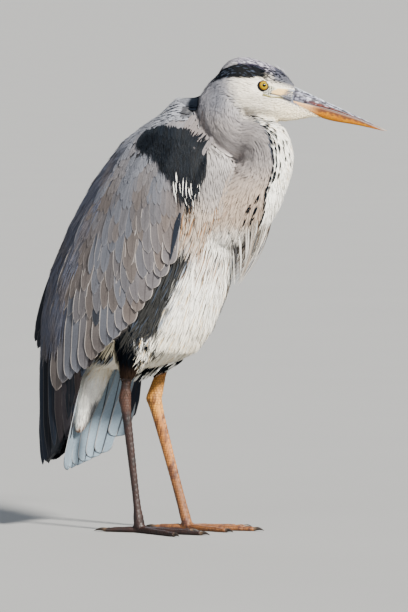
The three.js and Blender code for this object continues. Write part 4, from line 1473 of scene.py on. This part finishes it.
def make_wing(tag, side):
    rng = np.random.default_rng(41)
    coverts = Coat()
    make_coverts(coverts, side, rng)
    coverts.build(f"wing_coverts_{tag}", VANE_FIRM)
    patch = Coat()
    make_shoulder_patch(patch, side, rng)
    patch.build(f"shoulder_patch_{tag}", VANE_GLOSSY)
    make_flight(tag, side, rng)


# ---------------------------------------------------------------- tail

TAIL_ROOT = np.array([-82.0, 222.0])  # x and z of the tail's middle line
TAIL_END = np.array([-108.0, 70.0])
# x, half width and z of the outer feather on each side, at its root and its tip
TAIL_RIGHT = np.array([[-78.0, 10.0, 215.0], [-94.0, 46.0, 88.0]])
TAIL_LEFT = np.array([[-16.0, 32.0, 200.0], [-74.0, 48.0, 92.0]])


def tail_point(s, across):
    """A point of the fanned tail, s of the way down and across from -1, right, to 1, left."""
    s, across = s[..., None], across[..., None]
    middle = TAIL_ROOT * (1 - s) + TAIL_END * s
    sides = [ends[0] * (1 - s) + ends[1] * s for ends in (TAIL_RIGHT, TAIL_LEFT)]
    edge = np.where(across < 0, *sides)
    forward = np.abs(across) ** 1.6
    x, z = np.split(middle * (1 - forward) + edge[..., ::2] * forward, 2, axis=-1)
    return np.concatenate([x, across * edge[..., 1:2], z], axis=-1)


def make_tail(count=13, stations=40, step=0.02):
    coat = Coat()
    across = np.append(np.linspace(-0.84, 1.008, count - 1), 1.08)
    length = np.interp(across, [-0.84, 0.0, 0.84, 1.008, 1.08], [0.983, 1.0, 0.983, 0.84, 0.62])
    s = np.linspace(0.04, 1.0, stations)[None, :] * length[:, None]
    spread = across[:, None] * np.linspace(0.86, 1.0, stations)[None, :]
    sideways = tail_point(s, spread + step) - tail_point(s, spread - step)
    down = tail_point(s + step, spread) - tail_point(s - step, spread)
    up = unit(np.cross(sideways, down))
    up = np.where(up[..., :1] > 0, -up, up)
    path = tail_point(s, spread) + up * (0.9 - 1.8 * np.abs(across)[:, None, None])
    tones = TAIL_GREY * np.random.default_rng(7).uniform(0.9, 1.08, (count, 1))
    tones[-1] = SLATE  # the outermost feather slate, a painted shadow where it shows behind the near leg
    spot, size = flight_cell(np.arange(count), TAIL_CELLS)
    tilt = np.where(across < 0, 0.03, -0.03)[:, None, None]
    half = np.interp(across, [-0.9, -0.1, 0.1, 0.9, 1.0, 1.08], [7.5, 8.5, 12.5, 13.0, 14.0, 6.5])
    coat.add(path, up, half, tones, spot, 0.05, "tail", 11, tilt, 0.55, 0.9, size)
    made = coat.build("tail_feathers", VANE_FIRM, ["tail"])
    made.modifiers.new("thickness", "SOLIDIFY").thickness = 0.5 * MM


# ---------------------------------------------------------------- leg scales

PLATE_GRID = np.meshgrid(np.linspace(-1, 1, 5), np.linspace(-1, 1, 4))  # across and up a plate
SHANK_PITCH = 3.1
TOE_PITCH = 3.0
SCALE_FLOOR = 0.05  # lowest height of scales and claws


def axis_of(node):
    """The two ends of a long node."""
    points, _ = node_triangles(node)
    middle = points.mean(axis=0)
    direction = np.linalg.svd(points - middle, full_matrices=False)[2][0]
    reach = (points - middle) @ direction
    return middle + direction * reach.min(), middle + direction * reach.max()


def run_of(ends):
    """Direction and length from the first end to the second."""
    length = np.linalg.norm(ends[1] - ends[0])
    return (ends[1] - ends[0]) / length, length


def scale_plates(centres, normals, ups, width, height, lift):
    """Domed plates laid on the form; returns points, faces and each point's distance from its middle."""
    u, v = PLATE_GRID
    rows, columns = u.shape
    sideways = unit(np.cross(ups, normals))
    ups = unit(np.cross(normals, sideways))
    flat = centres[:, None, None]
    for way, share, size in ((sideways, u, width), (ups, v, height)):
        flat = flat + way[:, None, None] * (share * 0.5)[..., None] * size[:, None, None, None]
    place, normal = GUIDE.nearest(flat)
    out = np.maximum(np.abs(u), np.abs(v))
    rise = lift[:, None, None] * (1 - 1.5 * out ** 3) - 0.12 * v
    points = place + normal * rise[..., None]
    return points.reshape(-1, 3), grid_faces(rows, columns, len(centres)), np.tile(out.ravel(), len(centres))


def shank_plates(node):
    """Plates round a shank, with broad scutes down the front of the tarsus: centre, outward and upward
    direction, width, height and lift of each."""
    ends = sorted(axis_of(node), key=lambda p: -p[2])
    down, length = run_of(ends)
    plates = []
    for row in range(int(length / SHANK_PITCH)):
        centre = ends[0] + down * (row + 0.5) * SHANK_PITCH
        front = 62 if node.startswith("tarsus") and row > 2 else 0
        for angle in np.arange(front, 360 - front, 30.0) + (15.0 if row % 2 else 0.0):
            out = math.radians(angle)
            plates.append((centre, (math.cos(out), math.sin(out), 0.0), -down, 3.4, 3.3, 0.16))
        if front and row % 2:
            plates.append((centre, (1.0, 0.0, 0.0), -down, 9.0, 6.6, 0.3))
    return plates


def toe_plates(node, foot):
    """Scutes over a toe's top and small plates down both its sides, from the foot's middle out."""
    ends = sorted(axis_of(node), key=lambda p: np.linalg.norm(p[:2] - foot[:2]))
    run, length = run_of(ends)
    cross = np.cross(run, [0.0, 0.0, 1.0])
    plates = []
    for row in range(1, int(length / TOE_PITCH)):
        centre = ends[0] + run * (row + 0.5) * TOE_PITCH
        plates.append((centre, (0.0, 0.0, 1.0), -run, 6.6, 3.4, 0.22))
        plates += [(centre, cross * turn + [0.0, 0.0, 0.25], -run, 2.6, 3.0, 0.1) for turn in (-1, 1)]
    return plates


def make_scales(tag):
    foot = min(axis_of(f"tarsus_{tag}"), key=lambda p: p[2])
    plates = shank_plates(f"tarsus_{tag}") + shank_plates(f"tibia_{tag}")
    for toe in TOES:
        plates += toe_plates(f"{toe}_{tag}", foot)
    centres, normals, ups, width, height, lift = (np.array(column, float) for column in zip(*plates))
    on, _ = GUIDE.nearest(centres + unit(normals) * 7.0)
    _, normals = GUIDE.nearest(on)
    points, faces, out = scale_plates(on, normals, ups, width, height, lift)
    points[:, 2] = np.maximum(points[:, 2], SCALE_FLOOR)
    uneven = np.random.default_rng(88).uniform(0.85, 1.12, len(plates))
    tones = leg_tone(points) * np.repeat(uneven, PLATE_GRID[0].size)[:, None]
    patch = (unwrap(on)[:, None, None] + stack(*PLATE_GRID) * 0.5 * PATCH).reshape(-1, 2)
    tones, patch = np.clip(tones, 0, 1), np.clip(patch, 0, 1)
    piece(f"leg_scales_{tag}", points, faces, SCALES, tones, {"across": out}, patch)


# ---------------------------------------------------------------- bill, eyes, claws

HORN_DARK = paint(40, 40, 50)
HORN_GREY = paint(132, 132, 148)
RIDGE_HIGHLIGHT = paint(204, 212, 222)
HORN_GLINT = paint(206, 208, 222)
HORN_EDGE = paint(104, 48, 34)
HORN_LINE = paint(20, 20, 28)
HORN_TIP = paint(206, 180, 150)
BILL_PEACH = paint(204, 158, 108)
BILL_ORANGE = np.array([0.42, 0.14, 0.0])
BILL_KEEL = paint(190, 104, 10)
BILL_YELLOW = np.array([0.46, 0.21, 0.0])
BILL_LIP = paint(70, 44, 42)
BILL_TIP = paint(140, 70, 22)
LID_GREY = paint(150, 152, 150)
LID_FRONT = paint(76, 88, 78)
LID_LOW = paint(86, 96, 112)
LID_BLACK = paint(10, 9, 8)
LORE = paint(222, 182, 112)
LORE_YELLOW = paint(238, 224, 180)
LORE_GREEN = paint(50, 62, 52)
LORE_DARK = paint(80, 86, 100)
LORE_SLATE = paint(66, 70, 84)
LORE_FLECK = paint(40, 42, 52)
LORE_HIGHLIGHT = paint(150, 162, 182)
GAPE_YELLOW = paint(120, 110, 6)
GAPE_DARK = paint(26, 24, 28)
CLAW_DARK = paint(40, 34, 30)
CLAW_BASE = paint(92, 74, 58)

TIP_X, TIP_Z = 158.3, -6.4
# along the head, top, bottom, half width
UPPER_BILL = [
    (18, 12.6, -6.6, 9.8), (38, 10.6, -5.2, 8.9), (62, 7.4, -3.8, 7.3), (90, 3.6, -2.4, 5.5),
    (122, -0.9, -3.4, 3.3),
    (TIP_X - 6, TIP_Z + 0.9, TIP_Z - 0.1, 1.1),
    (TIP_X, TIP_Z + 0.1, TIP_Z - 0.4, 0.3),
]
LOWER_BILL = [
    (18, -7.3, -13.2, 8.8), (38, -5.9, -14.2, 8.1), (62, -4.5, -14.8, 6.7), (90, -3.1, -15, 5),
    (122, -4.1, -10.8, 2.9),
    (TIP_X - 9, TIP_Z - 0.7, TIP_Z - 1.9, 1),
    (TIP_X - 3, TIP_Z - 0.9, TIP_Z - 1.3, 0.3),
]
BILL_STATIONS = 150
BILL_ARC = 24  # steps round the arched side
BILL_FLAT = 4  # points across the cutting face
HORN_GRAIN = (0.3, 1, 1)  # ripples' stretches that draw them out along the bill
HORN_GLINTS = (0.22, 1, 1)
HORN_LINES = (0.2, 1, 1)


def rows_at(rows, count):
    """count + 1 rows spread along rows on a Catmull-Rom curve."""
    rows = np.array(rows, float)
    last = len(rows) - 1
    place = np.minimum(np.linspace(0, last, count + 1), last - 1e-9)
    i = place.astype(int)
    f = (place - i)[:, None]
    a, b, c, d = rows[np.maximum(i - 1, 0)], rows[i], rows[i + 1], rows[np.minimum(i + 2, last)]
    slope_b, slope_c = (c - a) / 2, (d - b) / 2
    bend = 2 * (b - c) + slope_b + slope_c
    return b + f * (slope_b + f * (c - b - slope_b - bend + f * bend))


def bill_half(name, rows, upper, tone, finish):
    """One half of the bill: an arched side over a flat cutting face. turn runs from edge to edge."""
    along, top, bottom, half = (values[:, None] for values in rows_at(rows, BILL_STATIONS).T)
    turn = np.linspace(0, math.pi, BILL_ARC + 1)[None, :]
    side = np.cos(turn) * half
    arch = np.broadcast_to(np.sin(turn) ** 0.82, side.shape)
    high = (top - bottom) * arch
    if upper:  # the nostril's slot and the groove before it
        out = np.degrees(turn)
        steep = np.minimum(out, np.abs(180 - out))
        nostril = bell(along - 40, 7.0) * bell(steep - 50, 9.0)
        inward = 1.4 * nostril + 0.35 * band(along, 34, 104, 8) * bell(steep - 46, 7.0)
        side = side - np.sign(side) * inward * 0.9
        high = high - inward * 0.4
    edge = bottom if upper else top
    across = np.linspace(-1, 1, BILL_FLAT + 2)[1:-1] * half
    ring_y = np.c_[side, across]
    ring_z = np.c_[edge + high if upper else edge - high, np.broadcast_to(edge, across.shape)]
    local = stack(along, ring_y, ring_z).reshape(-1, 3)
    rise = np.c_[arch, np.zeros(across.shape)].ravel()
    lines, count = ring_y.shape
    faces = grid_faces(lines, count, closed=True)
    if upper:
        faces = faces[:, ::-1]
    round_share = np.tile(np.arange(count) / count, lines)
    patch = stack(np.repeat(np.linspace(0.02, 0.98, lines), count), round_share * 0.96 + 0.02)
    numbers = {"across": np.tile(np.linspace(0, 1, count), lines), "reach": local[:, 0] / 10.0}
    tones = np.clip(tone(local, rise), 0, 1)
    piece(f"{name}_horn", from_head(local), faces, finish, tones, numbers, patch, [name])


def make_bill():
    grey, orange = horn_finish("grey_horn", 0.42, 14.0), horn_finish("orange_horn", 0.38, 10.0)
    bill_half("bill_upper", UPPER_BILL, True, upper_bill_tone, grey)
    bill_half("bill_lower", LOWER_BILL, False, lower_bill_tone, orange)


def upper_bill_tone(local, rise):
    """Streaked grey horn with painted whitish glints and a painted bluish white highlight along the ridge,
    reddish brown along the cutting edge.
    """
    x = local[:, 0]
    mottle = ripple(local, 2.2, 81, HORN_GRAIN)
    flecks = ramp(ripple(local, 1.5, 84, HORN_GLINTS), 0.4, 0.7)
    lines = ramp(ripple(local, 1.7, 83, HORN_LINES), 0.3, 0.6)
    return painted(
        HORN_DARK,
        (HORN_GREY, ramp(mottle, -0.15, 0.6)),
        # painted highlight along the ridge, then painted whitish glints
        (RIDGE_HIGHLIGHT, 0.65 * ramp(rise + 0.06 * mottle, 0.86, 0.98) * fall(x, 140, 160)),
        (HORN_GLINT, 0.6 * flecks * ramp(x, 38, 50)),
        (HORN_EDGE, 0.85 * fall(rise + 0.08 * mottle, 0.2, 0.42) * ramp(x, 48, 76)),
        (HORN_LINE, 0.85 * lines * fall(x, 100, 140)),
        (HORN_TIP, 0.45 * ramp(x, 134, 158)),
    )


def lower_bill_tone(local, rise):
    """Peach at the base with an orange lower edge, bright orange from the middle on, browner at the tip."""
    x = local[:, 0]
    lip = fall(rise + 0.1 * ripple(local, 2.2, 85, HORN_GRAIN), 0.34, 0.5)
    return painted(
        BILL_PEACH,
        (BILL_ORANGE, ramp(x, 58, 78)),
        (BILL_KEEL, 0.6 * ramp(rise, 0.5, 0.8) * fall(x, 66, 82)),
        (BILL_YELLOW, 0.6 * ramp(ripple(local, 6, 82), 0.0, 0.9) * ramp(x, 66, 82)),
        (BILL_LIP, 0.85 * lip * band(x, 66, 146, 12)),
        (BILL_TIP, 0.7 * ramp(x, 130, 156)),
    )


EYE_TURN = np.linspace(0, 2 * math.pi, 48, endpoint=False)  # places round an eye
GAZE_FORWARD = math.radians(-10)
GAZE_UP = math.radians(15)
IRIS_TILT = 62.0  # degrees from the eye's axis where its material's out reaches 1
# angle from the eye's axis, distance from its middle, share of black and of wrinkles of each ring of the lid
LID_RINGS = [
    (47, 8.05, 1, 0), (48.5, 8.5, 1, 0), (52, 8.75, 1, 1), (56, 8.9, 0.8, 1),
    (61, 8.85, 0.2, 1), (68, 8.7, 0, 1), (76, 8.35, 0, 1), (86, 7.6, 0, 0),
]


def dome(side, tilts, reach, squash=1.0):
    """Rings about the eye's axis, at angles from the axis and distances from the eye's middle."""
    tilts, reach = np.radians(tilts)[:, None], np.array(reach)[:, None]
    x, y, z = np.sin(tilts) * np.cos(EYE_TURN), side * np.cos(tilts), np.sin(tilts) * np.sin(EYE_TURN)
    local = stack(x * reach, y * reach, z * reach * squash).reshape(-1, 3)
    faces = grid_faces(len(tilts), len(EYE_TURN), closed=True)
    return local + [0.0, side * EYE_SIDE, 0.0], faces if side < 0 else faces[:, ::-1]


def turn_gaze(local, side):
    """Turns the eyeball so that it looks a little forward and up."""
    middle = np.array([0.0, side * EYE_SIDE, 0.0])
    x, y, z = turned(local - middle, side * GAZE_FORWARD).T
    c, s = math.cos(side * GAZE_UP), math.sin(side * GAZE_UP)
    return stack(x, y * c - z * s, y * s + z * c) + middle


def make_eye(tag, side):
    tilts = np.linspace(0.5, 100, 44)
    local, faces = dome(side, tilts, EYE_RADIUS + 0.25 * bell(tilts, 26))
    patch = local[:, [0, 2]] / (EYE_RADIUS * 2.2) + 0.5
    points = from_head(turn_gaze(local, side))
    numbers = {"out": np.repeat(tilts / IRIS_TILT, len(EYE_TURN))}
    piece(f"eye_ball_{tag}", points, faces, EYE, None, numbers, patch, [f"eye_{tag}"])
    tilts, reach, black, wrinkles = np.array(LID_RINGS, float).T
    local, faces = dome(side, tilts, reach, 0.85)
    turn = np.tile(EYE_TURN, len(tilts))
    local[:, 1] += side * 0.12 * np.sin(8 * turn) * np.repeat(wrinkles, len(EYE_TURN))
    tones = painted(
        LID_GREY,
        (LID_FRONT, ramp(np.cos(turn), -0.1, 0.8)),
        (LID_LOW, 0.7 * ramp(-np.sin(turn), 0.0, 0.8)),
        (LID_BLACK, np.repeat(black, len(EYE_TURN))),
    )
    patch = local[:, [0, 2]] / (EYE_RADIUS * 2.6) + 0.5
    piece(f"eye_lid_{tag}", from_head(local), faces, BARE_SKIN, tones, {}, patch)


GAPE_LINE = [(11, -5.6), (15, -5.4), (23, -4.6), (27, -6.2), (40, -6.9)]
GAPE_RIM_LINE = [(4, -9.6), (14, -9.0), (23, -6.4), (27, -6.8)]


def lore_tone(a, b):
    """Bare skin of the face: peach lores, grey-green round the eye, blue-grey by the bill under a painted
    highlight, a dark gape with a yellow-green edge below it. a runs along the head and b up it."""
    grain = ripple(stack(a, b, 0), 2.0, 92)
    flecks = ramp(ripple(stack(a, b, 0), 1.6, 93, HORN_GRAIN), 0.2, 0.6)
    low = np.interp(a, [12, 20, 29, 34], [-4.4, -4.6, -3.0, 2.0])
    high = np.interp(a, [12, 19, 29, 34], [-2.5, 3.2, 5.4, 3.6])
    return painted(
        FACE,
        (LORE_YELLOW, 0.8 * ramp(a, 5, 9) * ramp(b, -1, 4)),
        (LORE_GREEN, (0.7 + 0.4 * grain) * fall(np.hypot(a, b), 12.0, 18.0)),
        (LORE, 0.95 * ramp(b, low - 1, low + 0.6) * fall(b, high - 0.8, high + 1) * band(a, 12.5, 33, 1.2)),
        (LORE_DARK, ramp(a, 22, 27) * fall(b, -3.5, -1.5 + 0.25 * (a - 24)) * (0.8 + 0.2 * grain)),
        (LORE_SLATE, (0.8 + 0.3 * grain) * ramp(a - 0.4 * (b - 4), 26, 32)),
        (LORE_FLECK, 0.7 * flecks * ramp(a, 25, 31)),
        # painted highlight along the top of the lore by the bill
        (LORE_HIGHLIGHT, 0.6 * ramp(a, 30, 34) * band(b, 5.0, 7.6, 0.8)),
        (GAPE_YELLOW, 0.95 * bell(line_distance(a, b, GAPE_RIM_LINE), 1.3)),
        (GAPE_DARK, 0.95 * bell(line_distance(a, b, GAPE_LINE), 1.0)),
    )


def make_lore(tag, side, columns=72, rows=40):
    """The bare skin between eye and bill: a fine patch with the gape's fold along its lower edge."""
    u, v = (grid.ravel() for grid in np.meshgrid(np.linspace(0, 1, columns), np.linspace(0, 1, rows)))
    along = 3.0 + 35.0 * u
    up = lore_low(along) * (1 - v) + lore_high(along) * v
    start = from_head(stack(along, side * 60.0, up))
    places, normals = GUIDE.along_rays(start, HEAD_AXES @ [0.0, -side, 0.0])
    edge = np.minimum.reduce([v, 1 - v, 1.5 * u])
    rise = 0.15 - 0.9 * fall(edge, 0.0, 0.09) + 0.1 * ripple(places, 2.4, 91)
    rise += 0.5 * bell(line_distance(along, up, GAPE_RIM_LINE), 0.9)
    rise -= 0.45 * bell(line_distance(along, up, GAPE_LINE), 0.7)
    faces = grid_faces(rows, columns)
    if side > 0:
        faces = faces[:, ::-1]
    tones = mix(lore_tone(along, up), FACE * 0.9, fall(np.minimum(3 * v, 1 - v), 0.02, 0.14))
    points = places + normals * rise[:, None]
    piece(f"lore_{tag}", points, faces, BARE_SKIN, tones, {}, stack(u, v) * 0.94 + 0.03)


CLAWS = {f"claw_{toe}_{tag}": f"{toe}_{tag}" for tag in SIDES for toe in TOES}


def claw_cone(name, toe, s, turn):
    """Rings of points down one claw, from inside its toe to the tip."""
    toe_middle = np.mean(axis_of(toe), axis=0)
    base, tip = sorted(axis_of(name), key=lambda p: np.linalg.norm(p - toe_middle))
    run, length = run_of([base * [1, 1, 0], tip * [1, 1, 0]])
    cross = np.array([-run[1], run[0], 0.0])
    out = np.clip(s, 0, 1)
    radius = np.maximum(2.25 * (1 - out ** 1.5) ** 0.8, 0.12)
    height = 2.6 + 1.3 * np.sin(math.pi * out * 0.85) - 2.3 * out ** 1.6
    middle = base * [1, 1, 0] + run * (s * length)[:, None] + stack(0, 0, height)
    ring = cross * np.cos(turn)[:, None] * 0.8 + stack(0, 0, 1.1 * np.sin(turn))
    cone = middle[:, None] + ring * radius[:, None, None]
    cone[..., 2] = np.maximum(cone[..., 2], SCALE_FLOOR)
    return cone


def make_claws(steps=14, around=14):
    """Arched, tapering claws, a little hooked at the tip."""
    s = np.linspace(-0.12, 1, steps)
    turn = np.linspace(0, 2 * math.pi, around, endpoint=False)
    points = np.concatenate([claw_cone(name, toe, s, turn).reshape(-1, 3) for name, toe in CLAWS.items()])
    number, reach, share = (grid.ravel() for grid in np.meshgrid(
        np.arange(len(CLAWS)), s, np.arange(around) / around, indexing="ij",
    ))
    tones = mix(CLAW_DARK, CLAW_BASE, fall(reach, -0.1, 0.4))
    patch = stack((number + 0.05 + 0.9 * share) / len(CLAWS), np.clip(reach * 0.8 + 0.15, 0, 1))
    faces = grid_faces(steps, around, len(CLAWS), closed=True)
    numbers = {"across": share, "reach": reach}
    finish = horn_finish("claw", 0.35, 6.0)
    piece("claw_horn", points, faces, finish, tones, numbers, patch, list(CLAWS))


# ---------------------------------------------------------------- floor, light and camera

FLOOR_HALF = 400.0  # metres
LAMPS = [  # name, azimuth and elevation it shines from, softness, strength, colour
    ("key", 62, 36, 8, 14.5, (1.0, 0.965, 0.9)),
    ("fill", 0, 28, 50, 1.2, (0.92, 0.95, 1.0)),
    ("back", 215, 40, 40, 0.7, (0.8, 0.9, 1.0)),
]
CAMERA_ANGLES = (22, 3)
CAMERA_DISTANCE = 8.0
CAMERA_TARGET = np.array([69.9, 0.0, 272.8])
FRAME_HEIGHT = 0.7344  # what the picture takes in at the target
SENSOR_HEIGHT = 36.0


def from_angles(azimuth, elevation):
    """The direction towards a viewer or lamp; azimuth 0 looks at the bird's right side, 90 at its front."""
    turn, rise = math.radians(azimuth), math.radians(elevation)
    return Vector((math.sin(turn) * math.cos(rise), -math.cos(turn) * math.cos(rise), math.sin(rise)))


def facing(azimuth, elevation):
    return from_angles(azimuth, elevation).to_track_quat("Z", "Y").to_euler()


def make_stage():
    mesh = bpy.data.meshes.new("floor")
    corners = [(x * FLOOR_HALF, y * FLOOR_HALF, 0) for x, y in ((-1, -1), (1, -1), (1, 1), (-1, 1))]
    mesh.from_pydata(corners, [], [(0, 1, 2, 3)])
    finish = Finish("floor", 0.9, 0.1)
    dark, pale = linear((0.24, 0.24, 0.236)), linear((0.255, 0.255, 0.25))
    mesh.materials.append(finish.ends(finish.blend(dark, pale, finish.noise(3.0, 3.0))))
    floor = placed("floor", mesh)
    world = bpy.data.worlds.new("studio")
    world.use_nodes = True
    sky = world.node_tree.nodes["Background"].inputs
    sky["Color"].default_value = (0.78, 0.86, 1.0, 1.0)
    sky["Strength"].default_value = 0.42
    bpy.context.scene.world = world
    for name, azimuth, elevation, softness, strength, colour in LAMPS:
        lamp = bpy.data.lights.new(name, "SUN")
        lamp.angle = math.radians(softness)
        lamp.energy = strength
        lamp.color = colour
        placed(name, lamp).rotation_euler = facing(azimuth, elevation)


def make_camera():
    lens = bpy.data.cameras.new("camera")
    lens.sensor_fit = "VERTICAL"
    lens.sensor_height = SENSOR_HEIGHT
    lens.lens = SENSOR_HEIGHT * CAMERA_DISTANCE / FRAME_HEIGHT
    lens.clip_end = 900.0
    holder = placed("camera", lens)
    away = from_angles(*CAMERA_ANGLES)
    holder.location = Vector(CAMERA_TARGET * MM + SHIFT) + away * CAMERA_DISTANCE
    holder.rotation_euler = facing(*CAMERA_ANGLES)
    bpy.context.scene.camera = holder


make_stage()
make_camera()
make_skin()
make_head_coat()
make_neck_coat()
make_body_coat()
make_plumes()
make_mantle_coat()
make_tail()
make_bill()
for tag, side in SIDES.items():
    make_wing(tag, side)
    make_eye(tag, side)
    make_lore(tag, side)
    make_scales(tag)
make_claws()
